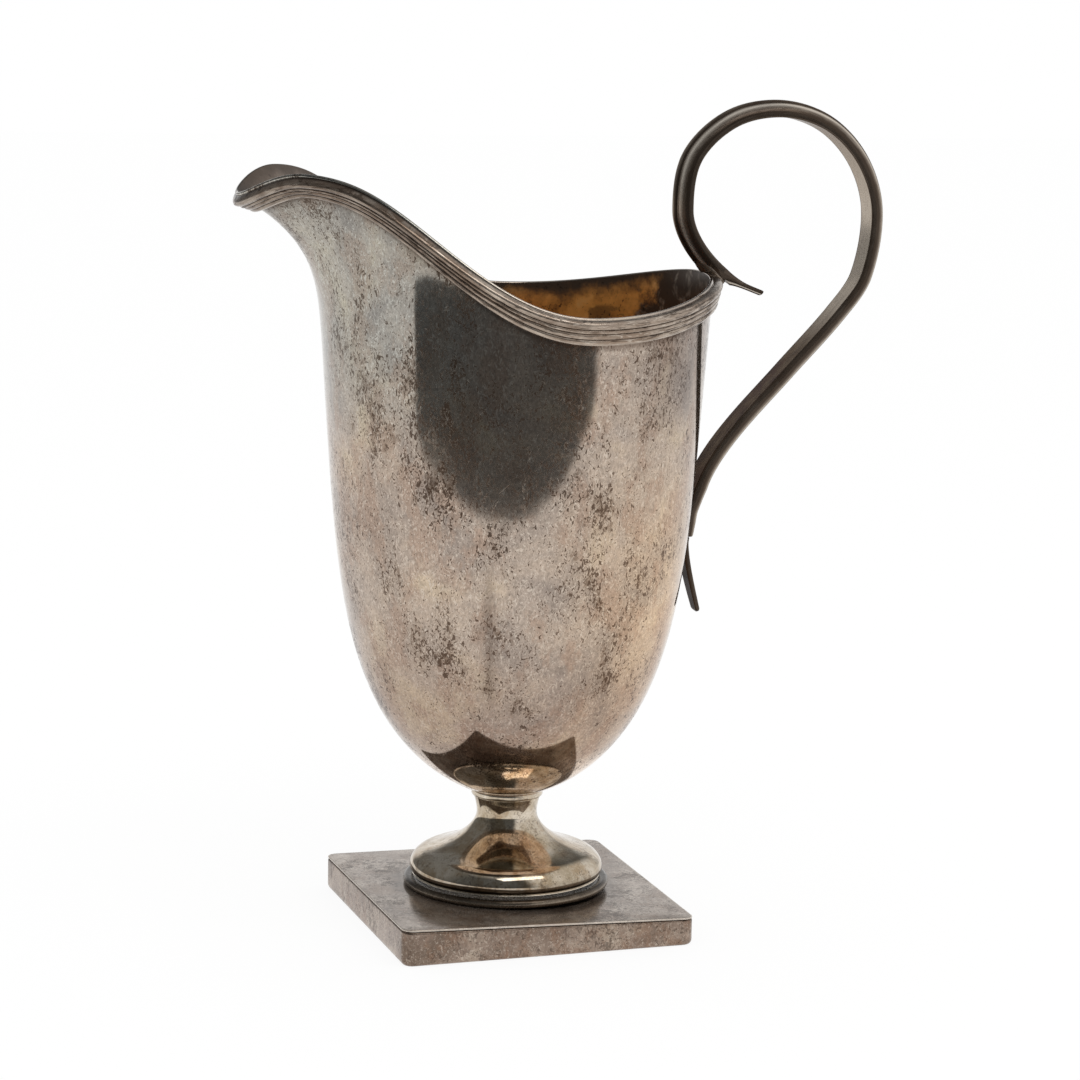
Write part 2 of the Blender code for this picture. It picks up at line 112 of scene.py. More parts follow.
def silver_finish(name, tones, blush, patch, fleck, worn, sizes, amounts, roughness, lay=None,
                  metallic=1.0):
    """Tarnished silver. Tones are four colours of the tarnish film, mixed by soft clouds and blushed by a
    fifth; on them lie ragged patches and a dust of fine flecks, both thick in the same places. Two marks of
    the mesh darken its hollows, with dirt and on some pieces painted shade, and make its edges pale, with
    wear and on some pieces painted highlights. Sizes are millimetres, and amounts are by the pattern's name.
    On drawn wire the patterns follow two more marks, stretched along it by the lay."""
    coat = bpy.data.materials.new(name)
    coat.use_nodes = True
    tree = coat.node_tree
    shader = tree.nodes["Principled BSDF"]
    place = add(tree, "TexCoord").outputs["Object"]
    drawn = add(tree, "Mapping", {"Vector": place, "Scale": (1.0, 1.0, sizes["run"])}).outputs[0]
    if lay:
        along = add(tree, "Attribute", attribute_name="along")
        across = add(tree, "Attribute", attribute_name="across")
        wire = add(tree, "CombineXYZ", {"X": along.outputs["Fac"], "Y": across.outputs["Fac"]})
        drawn = add(tree, "Mapping", {"Vector": wire.outputs[0], "Scale": (MM / lay, MM, MM)}).outputs[0]

    # Clouds of the tarnish film, a blush of another hue, and a fine grain
    cloud = add(tree, "TexNoise", {"Vector": place, "Scale": 1000.0 / sizes["cloud"], "Detail": 4.0,
                                   "Roughness": 0.6, "Distortion": 0.6})
    film = add(tree, "ValToRGB", {"Fac": cloud.outputs["Fac"]},
               stops=list(zip((0.34, 0.45, 0.55, 0.66), tones)))
    warm = add(tree, "TexNoise", {"Vector": drawn, "Scale": 1000.0 / sizes["blush"], "Detail": 6.0,
                                  "Roughness": 0.68})
    blushed = add(tree, "MapRange", {"Value": warm.outputs["Fac"], "From Min": 0.47, "From Max": 0.60,
                                     "To Max": amounts["blush"]}, interpolation_type="SMOOTHSTEP")
    hued = add(tree, "Mix", {0: blushed.outputs[0], 6: film.outputs["Color"], 7: linear(blush)},
               data_type="RGBA")
    grain = add(tree, "TexNoise", {"Vector": drawn, "Scale": 1000.0 / sizes["grain"], "Detail": 4.0,
                                   "Roughness": 0.75, "Distortion": 0.4})
    shade = add(tree, "MapRange", {"Value": grain.outputs["Fac"], "From Min": 0.35, "From Max": 0.65,
                                   "To Min": 1.0 - amounts["grain"], "To Max": 1.0 + amounts["grain"]},
                clamp=False)
    grained = add(tree, "VectorMath", {0: hued.outputs[2], "Scale": shade.outputs[0]}, operation="SCALE")

    # Ragged patches and fine flecks, thick where a slower pattern gathers them, and rubbed curls between
    gather = add(tree, "TexNoise", {"Vector": drawn, "Scale": 1000.0 / sizes["gather"], "Detail": 6.0,
                                    "Roughness": 0.66})
    ragged = add(tree, "TexNoise", {"Vector": drawn, "Scale": 1000.0 / sizes["patch"], "Detail": 8.0,
                                    "Roughness": 0.7, "Distortion": 0.3})
    heap = add(tree, "Math", {0: gather.outputs["Fac"], 1: PATCH_GATHERING, 2: ragged.outputs["Fac"]},
               operation="MULTIPLY_ADD")
    patched = add(tree, "MapRange", {"Value": heap.outputs[0], "From Min": 0.97, "From Max": 1.07,
                                     "To Max": amounts["patch"]}, interpolation_type="SMOOTHSTEP")
    with_patches = add(tree, "Mix", {0: patched.outputs[0], 6: grained.outputs[0], 7: linear(patch)},
                       data_type="RGBA")
    curl = add(tree, "TexNoise", {"Vector": drawn, "Scale": 1000.0 / sizes["curl"], "Detail": 3.0,
                                  "Roughness": 0.7, "Distortion": 2.0})
    curled = add(tree, "MapRange", {"Value": curl.outputs["Fac"], "From Min": 0.54, "From Max": 0.64,
                                    "To Max": amounts["curl"]}, interpolation_type="SMOOTHSTEP")
    with_curls = add(tree, "Mix", {0: curled.outputs[0], 6: with_patches.outputs[2], 7: linear(worn)},
                     data_type="RGBA")
    dust = add(tree, "TexNoise", {"Vector": drawn, "Scale": 1000.0 / sizes["fleck"], "Detail": 3.0,
                                  "Roughness": 0.65, "Distortion": 1.0})
    drift = add(tree, "Math", {0: gather.outputs["Fac"], 1: FLECK_GATHERING, 2: dust.outputs["Fac"]},
                operation="MULTIPLY_ADD")
    flecked = add(tree, "MapRange", {"Value": drift.outputs[0], "From Min": 0.86, "From Max": 0.915,
                                     "To Max": amounts["fleck"]}, interpolation_type="SMOOTHSTEP")
    with_flecks = add(tree, "Mix", {0: flecked.outputs[0], 6: with_curls.outputs[2], 7: linear(fleck)},
                      data_type="RGBA")

    # Hollows hold dirt, and on some pieces painted shade; edges are rubbed bright, and on some pieces carry
    # painted highlights
    hollow = add(tree, "Attribute", attribute_name="hollow")
    darkened = add(tree, "Mix", {0: hollow.outputs["Fac"], 6: with_flecks.outputs[2], 7: linear(fleck)},
                data_type="RGBA")
    edge = add(tree, "Attribute", attribute_name="edge")
    brightened = add(tree, "Math", {0: edge.outputs["Fac"], 1: shade.outputs[0]}, operation="MULTIPLY",
                 use_clamp=True)
    finished = add(tree, "Mix", {0: brightened.outputs[0], 6: darkened.outputs[2], 7: linear(worn)},
                   data_type="RGBA")
    tree.links.new(finished.outputs[2], shader.inputs["Base Color"])

    # Scratches: in each cell a thin plane at a random tilt cuts the surface in a short line, which is dull,
    # so that it shows pale where the metal mirrors something dark
    cell = add(tree, "TexVoronoi", {"Vector": place, "Scale": 1000.0 / sizes["scratch"],
                                    "Randomness": 1.0})
    offset = add(tree, "VectorMath", {0: place, 1: cell.outputs["Position"]}, operation="SUBTRACT")
    tilt = add(tree, "VectorMath", {0: cell.outputs["Color"], 1: (0.5, 0.5, 0.5)}, operation="SUBTRACT")
    facing = add(tree, "VectorMath", {0: tilt.outputs[0]}, operation="NORMALIZE")
    away = add(tree, "VectorMath", {0: offset.outputs[0], 1: facing.outputs[0]},
               operation="DOT_PRODUCT")
    gap = add(tree, "Math", {0: away.outputs["Value"]}, operation="ABSOLUTE")
    chosen = add(tree, "VectorMath", {0: cell.outputs["Color"], 1: (1.0, 0.0, 0.0)},
                 operation="DOT_PRODUCT")
    depth = add(tree, "MapRange", {"Value": chosen.outputs["Value"], "From Min": 0.5, "From Max": 1.0,
                                   "To Max": amounts["scratch"]})
    line = add(tree, "MapRange", {"Value": gap.outputs[0], "From Min": SCRATCH_SPAN[0] * MM,
                                  "From Max": SCRATCH_SPAN[1] * MM, "To Min": depth.outputs[0],
                                  "To Max": 0.0})
    dull = add(tree, "Math", {0: patched.outputs[0], 1: flecked.outputs[0]}, operation="MAXIMUM")
    marred = add(tree, "Math", {0: dull.outputs[0], 1: line.outputs[0]}, operation="MAXIMUM")
    rough = add(tree, "MapRange", {"Value": marred.outputs[0], "From Min": 0.0, "From Max": 1.0,
                                   "To Min": roughness[0], "To Max": roughness[1]})
    tree.links.new(rough.outputs[0], shader.inputs["Roughness"])

    # Hammer waves of the wall under the small relief of the grain
    wave = add(tree, "TexNoise", {"Vector": place, "Scale": 1000.0 / sizes["wave"], "Detail": 1.0})
    swell = add(tree, "Bump", {"Height": wave.outputs["Fac"], "Strength": 1.0,
                               "Distance": amounts["wave"] * MM})
    bump = add(tree, "Bump", {"Height": grain.outputs["Fac"], "Strength": 1.0,
                              "Distance": amounts["relief"] * MM, "Normal": swell.outputs[0]})
    tree.links.new(bump.outputs[0], shader.inputs["Normal"])
    shader.inputs["Metallic"].default_value = metallic
    return coat


def surface(name, grid, coats, marks, poles=False, coat_rows=None):
    """Piece from a grid of points: each is joined to its neighbours, the columns run round and meet, and the
    rows do too, or end in two poles. Marks are values of the points by name; coat_rows gives each row's
    coat."""
    rows, columns = grid.shape[:2]
    index = np.arange(rows * columns).reshape(rows, columns)
    if poles:
        index[0] = index[0, 0]
        index[-1] = index[-1, 0]
    this_row, next_row = (index[:-1], index[1:]) if poles else (index, np.roll(index, -1, axis=0))
    quads = np.stack([this_row, np.roll(this_row, -1, 1), np.roll(next_row, -1, 1), next_row], axis=-1)
    row_of_face = np.repeat(np.arange(len(quads)), columns)
    kept, quads = np.unique(quads.reshape(-1, 4), return_inverse=True)
    quads = quads.reshape(-1, 4)
    points = grid.reshape(-1, 3)[kept]
    a, b, c, d = (points[quads[:, i]] for i in range(4))
    volume = np.sum(a * np.cross(b, c)) + np.sum(a * np.cross(c, d))
    if volume < 0.0:
        quads = quads[:, [1, 0, 3, 2]]
    faces = quads.tolist()
    if poles:
        faces[:columns] = quads[:columns, 1:].tolist()
        faces[-columns:] = quads[-columns:, :3].tolist()
    mesh = bpy.data.meshes.new(name)
    mesh.from_pydata((points * MM + [axis_x, 0.0, 0.0]).tolist(), [], faces)
    for mark, values in marks.items():
        layer = mesh.attributes.new(mark, "FLOAT", "POINT")
        layer.data.foreach_set("value", np.broadcast_to(values, (rows, columns)).reshape(-1)[kept])
    for coat in coats:
        mesh.materials.append(coat)
    if coat_rows is not None:
        mesh.polygons.foreach_set("material_index", np.asarray(coat_rows, np.int32)[row_of_face])
    mesh.shade_smooth()
    mesh.update()
    piece = bpy.data.objects.new(name, mesh)
    bpy.context.scene.collection.objects.link(piece)
    return piece


def softened(corners, cuts):
    """Closed outline through a polygon's corners, each cut back by its own length along both sides and
    bridged by a quadratic curve."""
    corners = np.asarray(corners, float)
    cuts = np.asarray(cuts, float)[:, None]
    back = np.roll(corners, 1, axis=0) - corners
    ahead = np.roll(corners, -1, axis=0) - corners
    start = (corners + cuts * back / np.linalg.norm(back, axis=1, keepdims=True))[:, None]
    end = (corners + cuts * ahead / np.linalg.norm(ahead, axis=1, keepdims=True))[:, None]
    t = np.linspace(0.0, 1.0, ROUNDING_STEPS)[None, :, None]
    curve = (1.0 - t) ** 2 * start + 2.0 * t * (1.0 - t) * corners[:, None] + t ** 2 * end
    return curve.reshape(-1, 2)


def plinth_loop(inset):
    """Points of the plinth's outline, drawn in by insets that make the rows: corner centres and the square
    between them, moved out along the outline's normals by the corner's radius less the inset."""
    quarter = np.arange(4)[:, None] * np.pi / 2.0
    bend = quarter + np.linspace(0.0, np.pi / 2.0, CORNER_STEPS)
    straight = quarter + np.full(SIDE_STEPS, np.pi / 2.0)
    facing = np.concatenate([bend, straight], axis=1).reshape(-1) + PLINTH_TURN
    reach = (PLINTH_SIDE / 2.0 - PLINTH_CORNER) * math.sqrt(2.0)
    middle = quarter + np.pi / 4.0 + PLINTH_TURN
    centre = reach * np.stack([np.cos(middle), np.sin(middle)], axis=-1)
    share = np.linspace(0.0, 1.0, SIDE_STEPS + 2)[1:-1, None]
    side = centre + (np.roll(centre, -1, axis=0) - centre) * share
    core = np.concatenate([np.repeat(centre, CORNER_STEPS, axis=1), side], axis=1).reshape(-1, 2)
    normal = np.stack([np.cos(facing), np.sin(facing)], axis=-1)
    return core + (PLINTH_CORNER - np.asarray(inset, float)[:, None, None]) * normal


def plate_rise(points):
    """How far the bent plate stands over its level: a slope across the plinth and a twist, each a millimetre
    value at the corners, in the plinth's own turned axes."""
    along, across = math.cos(PLINTH_TURN), math.sin(PLINTH_TURN)
    x = (points[..., 0] * along + points[..., 1] * across) * 2.0 / PLINTH_SIDE
    y = (points[..., 1] * along - points[..., 0] * across) * 2.0 / PLINTH_SIDE
    return PLATE_SLOPE * x + PLATE_TWIST * x * y


def bell(distance, width, power=2):
    """Bell curve: 1 at no distance, and less as the exponential of a power of the distance over the width."""
    return np.exp(-(distance / width) ** power)


# Sheet silver, brown with tarnish: a warm grey film with brown clouds, dark specks and many short scratches
band_silver = silver_finish(
    "brown_tarnished_sheet_silver",
    tones=("#776659", "#887669", "#988678", "#aa9a8a"), blush="#866a57", patch="#6b5a4e", fleck="#42352c",
    worn="#d3c6b7",
    sizes={"run": 0.8, "cloud": 8.0, "blush": 5.0, "grain": 0.6, "gather": 7.0, "patch": 2.2, "fleck": 0.55,
           "curl": 0.7, "scratch": 1.4, "wave": 7.0},
    amounts={"blush": 0.6, "grain": 0.16, "patch": 0.4, "fleck": 0.55, "curl": 0.45, "scratch": 0.6,
             "wave": 0.02, "relief": 0.003},
    roughness=(0.24, 0.45), metallic=0.85)

band_outline = softened([(0.0, 0.0), (0.0, band_top), (BAND_THICKNESS, band_top), (BAND_THICKNESS, 0.0)],
                        [BAND_FOOT_ROUNDING, BAND_TOP_ROUNDING, BAND_BACK_ROUNDING, BAND_BACK_ROUNDING])
band_loops = plinth_loop(band_outline[:, 0])
band_share = band_outline[:, 1][:, None] / band_top
band_heights = band_outline[:, 1][:, None] + band_share * plate_rise(band_loops)
band_dirt = SEAM_DIRT * bell(band_outline[:, 1] - band_top, SEAM_DIRT_WIDTH)[:, None]
plinth_band = surface("plinth_band_sheet", np.concatenate([band_loops, band_heights[..., None]], axis=-1),
                      [band_silver], marks={"edge": 0.0, "hollow": band_dirt})
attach(plinth_band, "root")
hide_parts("plinth_band")


# Plinth plate
# The square top of the plinth, a flat sheet soldered on the band with a round hole under the hollow foot.
# Its upper edge, given as (way in, drop) points, is rubbed and carries a painted highlight: a light line over
# the dark seam.
PLATE_EDGE_POINTS = np.array([(0.0, 0.12), (0.03, 0.04), (0.12, 0.0)])
PLATE_UNDER_ROUNDING = 0.06
PLATE_FACE_START = 0.3
PLATE_FALL_WIDTH = 9.0
PLATE_HOLE_RADIUS = 15.3
PLATE_ROWS = 28
PLATE_EDGE_WEAR_AND_HIGHLIGHT = 0.55
PLATE_EDGE_HIGHLIGHT_INSET = 0.05
PLATE_EDGE_HIGHLIGHT_WIDTH = 0.14
PLATE_FOOT_SHADE = 0.5
PLATE_FOOT_SHADE_REACH = 2.5

ring_low, ring_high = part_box("foot_ring")
ring_radius = (ring_high[0] - ring_low[0]) / 2.0 / MM

# Smoother sheet silver: a grey satin mirror with soft brown clouds and a few specks
plate_silver = silver_finish(
    "satin_sheet_silver",
    tones=("#6b5e53", "#85776b", "#998c80", "#ab9f93"), blush="#786250", patch="#64564b", fleck="#40342b",
    worn="#e2d8cc",
    sizes={"run": 1.0, "cloud": 9.0, "blush": 6.0, "grain": 0.6, "gather": 8.0, "patch": 2.5, "fleck": 0.5,
           "curl": 1.0, "scratch": 1.8, "wave": 8.0},
    amounts={"blush": 0.6, "grain": 0.1, "patch": 0.55, "fleck": 0.5, "curl": 0.25, "scratch": 0.5,
             "wave": 0.03, "relief": 0.001},
    roughness=(0.15, 0.38), metallic=0.65)

# The plate is pillowed a little: it falls towards its outline as the square of the way
plate_face_inset = np.linspace(PLATE_FACE_START, PLATE_FALL_WIDTH, PLATE_ROWS)
plate_inset = np.concatenate([PLATE_EDGE_POINTS[:, 0], plate_face_inset])
plate_fall = PLATE_FALL * np.maximum(1.0 - plate_inset / PLATE_FALL_WIDTH, 0.0) ** 2
plate_fall[:len(PLATE_EDGE_POINTS)] += PLATE_EDGE_POINTS[:, 1]
plate_depth = PLATE_FALL + PLATE_EDGE
plate_side = [(PLATE_UNDER_ROUNDING, plate_depth), (0.0, plate_depth - PLATE_UNDER_ROUNDING)]
plate_outline = np.concatenate([plate_side, np.stack([plate_inset, plate_fall], axis=-1)])
plate_rim = plinth_loop(np.minimum(plate_outline[:, 0], PLINTH_CORNER))
hole_facing = np.arctan2(plate_rim[0, :, 1], plate_rim[0, :, 0])
hole = PLATE_HOLE_RADIUS * np.stack([np.cos(hole_facing), np.sin(hole_facing)], axis=-1)
to_hole = np.clip((plate_outline[:, 0] - PLINTH_CORNER) / (PLATE_FALL_WIDTH - PLINTH_CORNER), 0.0, 1.0)
plate_rows = plate_rim + (hole - plate_rim) * to_hole[:, None, None]
plate_heights = plate_top - plate_outline[:, 1][:, None] + plate_rise(plate_rows)
plate_face = np.concatenate([plate_rows, plate_heights[..., None]], axis=-1)
plate_under = plate_face[-1] - [0.0, 0.0, plate_depth]
plate_grid = np.concatenate([plate_face, plate_under[None]])
# Wear and a painted highlight along the plate's upper edge, a light line over the seam
plate_edge_worn_and_lit = PLATE_EDGE_WEAR_AND_HIGHLIGHT * bell(plate_outline[:, 0] - PLATE_EDGE_HIGHLIGHT_INSET, PLATE_EDGE_HIGHLIGHT_WIDTH)
plate_edge_worn_and_lit = np.concatenate([plate_edge_worn_and_lit, [0.0]])[:, None]
# Painted shade round the foot: the plate darkens near the foot ring and fades over a reach
ring_way = np.linalg.norm(plate_grid[..., :2], axis=-1) - ring_radius
plate_foot_shade = PLATE_FOOT_SHADE * bell(np.maximum(ring_way, 0.0), PLATE_FOOT_SHADE_REACH)
plinth_plate = surface("plinth_plate_sheet", plate_grid, [plate_silver],
                       marks={"edge": plate_edge_worn_and_lit, "hollow": plate_foot_shade})
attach(plinth_plate, "root")
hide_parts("plinth_plate")


# Foot ring
# A turned ring with a half-round side, soldered between the foot and the plinth. It is dark with old
# tarnish, and only its outermost line is rubbed bright.
RING_STEPS = 256
RING_ARC_STEPS = 25
RING_WEAR = 0.3
RING_WEAR_POWER = 12
RING_DIRT = 0.8

ring_bottom = ring_low[2] / MM
ring_top = ring_high[2] / MM


def turned(name, profile, coats, marks):
    """Piece from a closed profile of (radius, height) points carried round the jug's axis."""
    turn = np.linspace(0.0, 2.0 * np.pi, RING_STEPS, endpoint=False)
    radius = profile[:, 0][:, None]
    height = np.broadcast_to(profile[:, 1][:, None], (len(profile), RING_STEPS))
    grid = np.stack([radius * np.cos(turn), radius * np.sin(turn), height], axis=-1)
    return surface(name, grid, coats, marks)


# Turned silver, kept brighter by polishing: a clear mirror under an olive-brown film
spun_silver = silver_finish(
    "polished_spun_silver",
    tones=("#a6967e", "#bcad97", "#cbbeab", "#d6cab9"), blush="#a48b6c", patch="#7f6d57", fleck="#4e4033",
    worn="#efe6d8",
    sizes={"run": 1.0, "cloud": 5.0, "blush": 4.0, "grain": 0.5, "gather": 6.0, "patch": 1.8, "fleck": 0.5,
           "curl": 0.9, "scratch": 1.5, "wave": 4.0},
    amounts={"blush": 0.6, "grain": 0.09, "patch": 0.5, "fleck": 0.5, "curl": 0.2, "scratch": 0.35,
             "wave": 0.012, "relief": 0.001},
    roughness=(0.07, 0.28))

# Turned silver left unpolished: brown-black, with a dull sheen
dark_silver = silver_finish(
    "blackened_turned_silver",
    tones=("#4a4036", "#574c40", "#65594c", "#75685a"), blush="#4f4236", patch="#3d342b", fleck="#2a231c",
    worn="#c9bba9",
    sizes={"run": 1.0, "cloud": 4.0, "blush": 3.0, "grain": 0.5, "gather": 5.0, "patch": 1.5, "fleck": 0.5,
           "curl": 0.8, "scratch": 1.5, "wave": 4.0},
    amounts={"blush": 0.5, "grain": 0.15, "patch": 0.4, "fleck": 0.5, "curl": 0.2, "scratch": 0.3,
             "wave": 0.01, "relief": 0.002},
    roughness=(0.2, 0.4), metallic=0.93)

ring_bulge = (ring_top - ring_bottom) / 2.0
ring_arc = np.linspace(np.pi / 2.0, -np.pi / 2.0, RING_ARC_STEPS)
ring_side = np.stack([ring_radius - ring_bulge + ring_bulge * np.cos(ring_arc),
                      ring_bottom + ring_bulge + ring_bulge * np.sin(ring_arc)], axis=-1)
ring_foot = plate_top + PLATE_SLOPE
ring_back = [(ring_radius - ring_bulge, ring_foot), (PLATE_HOLE_RADIUS, ring_foot),
             (PLATE_HOLE_RADIUS, ring_top)]
ring_profile = np.concatenate([ring_side, ring_back])
ring_worn = RING_WEAR * np.cos(ring_arc) ** RING_WEAR_POWER
ring_worn = np.concatenate([ring_worn, np.zeros(len(ring_back))])[:, None]
ring_dirt = np.concatenate([RING_DIRT * np.sin(ring_arc) ** 2, np.ones(len(ring_back))])[:, None]
foot_ring = turned("foot_ring_turning", ring_profile, [dark_silver],
                   marks={"hollow": ring_dirt, "edge": ring_worn})
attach(foot_ring, "root")
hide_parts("foot_ring")


# Pedestal
# A stem and foot spun from one sheet: a flared top under the bowl, a waist, a trumpet and a domed foot,
# undercut to a thin worn lip. It is the best polished part, and mirrors the bowl, the plinth and the room.
PEDESTAL_THICKNESS = 0.9
FOOT_WIDEST_HEIGHT = 1.5
FOOT_DOME_HEIGHT = 3.0
FOOT_DOME_SPREAD = 2.7
FOOT_UNDERCUT = 0.6
FOOT_LIP = 0.16
FOOT_LIP_HEIGHT = 0.26
STEM_TOP_RADIUS = 6.0
WAIST_RADIUS = 5.4
WAIST_HEIGHT = 11.4
FOOT_SLOPE = 0.22
FOOT_WEAR = 0.9
FOOT_WEAR_HEIGHT = 0.3
FOOT_DIRT = 0.4
FOOT_DIRT_HEIGHT = 1.2
FOOT_DIRT_REACH = 0.9
STEM_ROWS = 20
TRUMPET_ROWS = 60
DOME_ROWS = 28
UNDERCUT_ROWS = 14
LIP_ROWS = 9

pedestal_base = pedestal_low[2] / MM
pedestal_height = pedestal_high[2] / MM - pedestal_base
foot_radius = (pedestal_high[0] - pedestal_low[0]) / 2.0 / MM


def pedestal_side(thickness):
    """Profile from the stem's top to the foot's edge, drawn in by a thickness: a quarter sine to the waist, a
    leaning quarter ellipse to the dome, another over it, a parabola drawing in below and a half-round lip."""
    edge = foot_radius - thickness
    waist = WAIST_RADIUS - thickness
    top = STEM_TOP_RADIUS - thickness
    dome = FOOT_WIDEST_HEIGHT + FOOT_DOME_HEIGHT - thickness
    spread = edge - FOOT_DOME_SPREAD
    t = np.linspace(0.0, 1.0, STEM_ROWS, endpoint=False)
    stem = np.stack([top + (waist - top) * np.sin(np.pi / 2.0 * t),
                     pedestal_height + (WAIST_HEIGHT - pedestal_height) * t], axis=-1)
    a = np.linspace(0.0, np.pi / 2.0, TRUMPET_ROWS, endpoint=False)
    radius = spread + (waist - spread) * np.cos(a)
    fall = WAIST_HEIGHT - dome - FOOT_SLOPE * (spread - waist)
    trumpet = np.stack([radius, WAIST_HEIGHT - fall * np.sin(a) - FOOT_SLOPE * (radius - waist)], axis=-1)
    a = np.linspace(0.0, np.pi / 2.0, DOME_ROWS, endpoint=False)
    lean = FOOT_SLOPE * FOOT_DOME_SPREAD * (1.0 - np.sin(a) - np.cos(a))
    shoulder = np.stack([spread + FOOT_DOME_SPREAD * np.sin(a),
                         FOOT_WIDEST_HEIGHT + (dome - FOOT_WIDEST_HEIGHT) * np.cos(a) + lean], axis=-1)
    t = np.linspace(0.0, 1.0, UNDERCUT_ROWS, endpoint=False)
    undercut = np.stack([edge - FOOT_UNDERCUT * t ** 2,
                         FOOT_WIDEST_HEIGHT + (FOOT_LIP_HEIGHT - FOOT_WIDEST_HEIGHT) * t], axis=-1)
    a = np.linspace(0.0, np.pi, LIP_ROWS)
    lip = np.stack([edge - FOOT_UNDERCUT + FOOT_LIP * np.sin(a),
                    FOOT_LIP_HEIGHT * (0.5 + 0.5 * np.cos(a))], axis=-1)
    return np.concatenate([stem, trumpet, shoulder, undercut, lip])


pedestal_profile = np.concatenate([pedestal_side(0.0), pedestal_side(PEDESTAL_THICKNESS)[::-1]])
pedestal_rise = pedestal_profile[:, 1][:, None]
foot_worn = FOOT_WEAR * bell(pedestal_rise, FOOT_WEAR_HEIGHT)
foot_dirt = FOOT_DIRT * bell(pedestal_rise - FOOT_DIRT_HEIGHT, FOOT_DIRT_REACH, power=4)
pedestal = turned("pedestal_spinning", pedestal_profile + [0.0, pedestal_base], [spun_silver],
                  marks={"edge": foot_worn, "hollow": foot_dirt})
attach(pedestal, "root")
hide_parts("pedestal")


# Stem collar
# A thin ring of solder and wire that closes the joint between the stem and the bowl. It is filed flush
# with the bowl's underside and shows as one bright line. Its edges are given as (way in, way off) cuts.
COLLAR_LEDGE = 1.0
COLLAR_UPPER_EDGE = (0.06, 0.10)
COLLAR_LOWER_EDGE = ((0.0, 0.25), (0.12, 0.06))
COLLAR_LAP = 0.1
COLLAR_WEAR = 0.2
COLLAR_FACE_STEPS = 6
BOWL_RADIUS = 34.8
BELLY_HEIGHT = 97.4
BELLY_POWER = 5.8
BASE_POWER = 1.73
BOWL_SPREAD = 0.183
SEAT_HEIGHT = 4.0
SEAT_STEPS = 400

collar_low, collar_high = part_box("stem_collar")
collar_radius = (collar_high[0] - collar_low[0]) / 2.0 / MM
bowl_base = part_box("bowl")[0][2] / MM


def round_radius(z):
    """Outside radius of the round bowl at a height above its lowest point: a rounded power curve up to the
    belly, times a slow straight spread."""
    t = np.maximum(z, 0.0) / BELLY_HEIGHT
    belly = (1.0 - (1.0 - np.minimum(t, 1.0)) ** BELLY_POWER) ** (1.0 / BASE_POWER)
    return BOWL_RADIUS * belly * (1.0 + BOWL_SPREAD * (t - 1.0))


seat_heights = np.linspace(0.0, SEAT_HEIGHT, SEAT_STEPS)
collar_face = np.linspace(STEM_TOP_RADIUS - COLLAR_LEDGE, collar_radius - COLLAR_UPPER_EDGE[0],
                          COLLAR_FACE_STEPS)
collar_seat = bowl_base + np.interp(collar_face, round_radius(seat_heights), seat_heights)
collar_foot = pedestal_high[2] / MM
collar_side = [(collar_radius, collar_seat[-1] - COLLAR_UPPER_EDGE[1]),
               *[(collar_radius - way_in, collar_foot + way_up) for way_in, way_up in COLLAR_LOWER_EDGE],
               (STEM_TOP_RADIUS - COLLAR_LAP, collar_foot), (collar_face[0], collar_foot)]
collar_profile = np.concatenate([np.stack([collar_face, collar_seat], axis=-1), collar_side])
stem_collar = turned("stem_collar_wire", collar_profile, [spun_silver],
                     marks={"edge": COLLAR_WEAR, "hollow": 0.0})
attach(stem_collar, "root")
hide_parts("stem_collar")


# Bowl
# A helmet-shaped bowl raised from one sheet of silver and hammered out to a pouring lip. Outside it is
# tarnished in clouds, streaks and pits; inside it was fire-gilt, and the gold has gone brown in patches.
BOWL_SHEET = 0.7
RIM_DIP_HEIGHT = 89.0
RIM_BACK_RISE = 4.8
RIM_CREST_RISE = 22.2
RIM_CREST_POWER = 1.24
LIP_DROOP = 4.1
RIM_DIP_ANGLE = math.radians(78.0)
RIM_CREST_ANGLE = math.radians(159.6)
LIP_REACH = 49.4
LIP_FLANK_SHARE = 0.20
LIP_FLANK_POWER = 3.0
LIP_BEAK_POWER = 23.0
FLARE_START_HEIGHT = 73.4
FLARE_POWER = 4.6
EDGE_WEAR = 0.6
EDGE_WEAR_DEPTH = 0.35
EDGE_WEAR_GROWTH = 2.0
# Dirt and painted shade in the seam under the moulding, and a wider painted shade under it round the front,
# between two angles from the handle's side
RIM_SEAM_DEPTH = 4.5
RIM_SEAM_DIRT_AND_SHADE = 0.6
RIM_SEAM_WIDTH = 0.6
RIM_LIP_SHADE_SPAN = (1.7, 2.4)
RIM_LIP_SHADE = 0.3
RIM_LIP_SHADE_WIDTH = 3.0
STREAK_TURN = math.radians(249.0)
STREAK_WIDTH = 1.1
STREAK_HEIGHT = 34.0
STREAK_REACH = 13.0
STREAK_DIRT = 0.4
BOWL_STEPS = 300
BOWL_CROWDING = 0.4
OUTER_ROWS = 140
INNER_ROWS = 110
EDGE_ROWS = 9


def ease(x, start=0.0, end=1.0):
    """Half a cosine wave, from 0 at the start to 1 at the end, and level outside."""
    return 0.5 - 0.5 * np.cos(np.pi * np.clip((x - start) / (end - start), 0.0, 1.0))


def from_handle(angle):
    """Angle from the handle's side, the same both ways round."""
    return np.abs(np.remainder(angle + np.pi, 2.0 * np.pi) - np.pi)


def crowded_turn(steps):
    """Angles once round, drawn together at the lip by a sine."""
    turn = np.linspace(0.0, 2.0 * np.pi, steps, endpoint=False)
    return turn + BOWL_CROWDING * np.sin(turn)


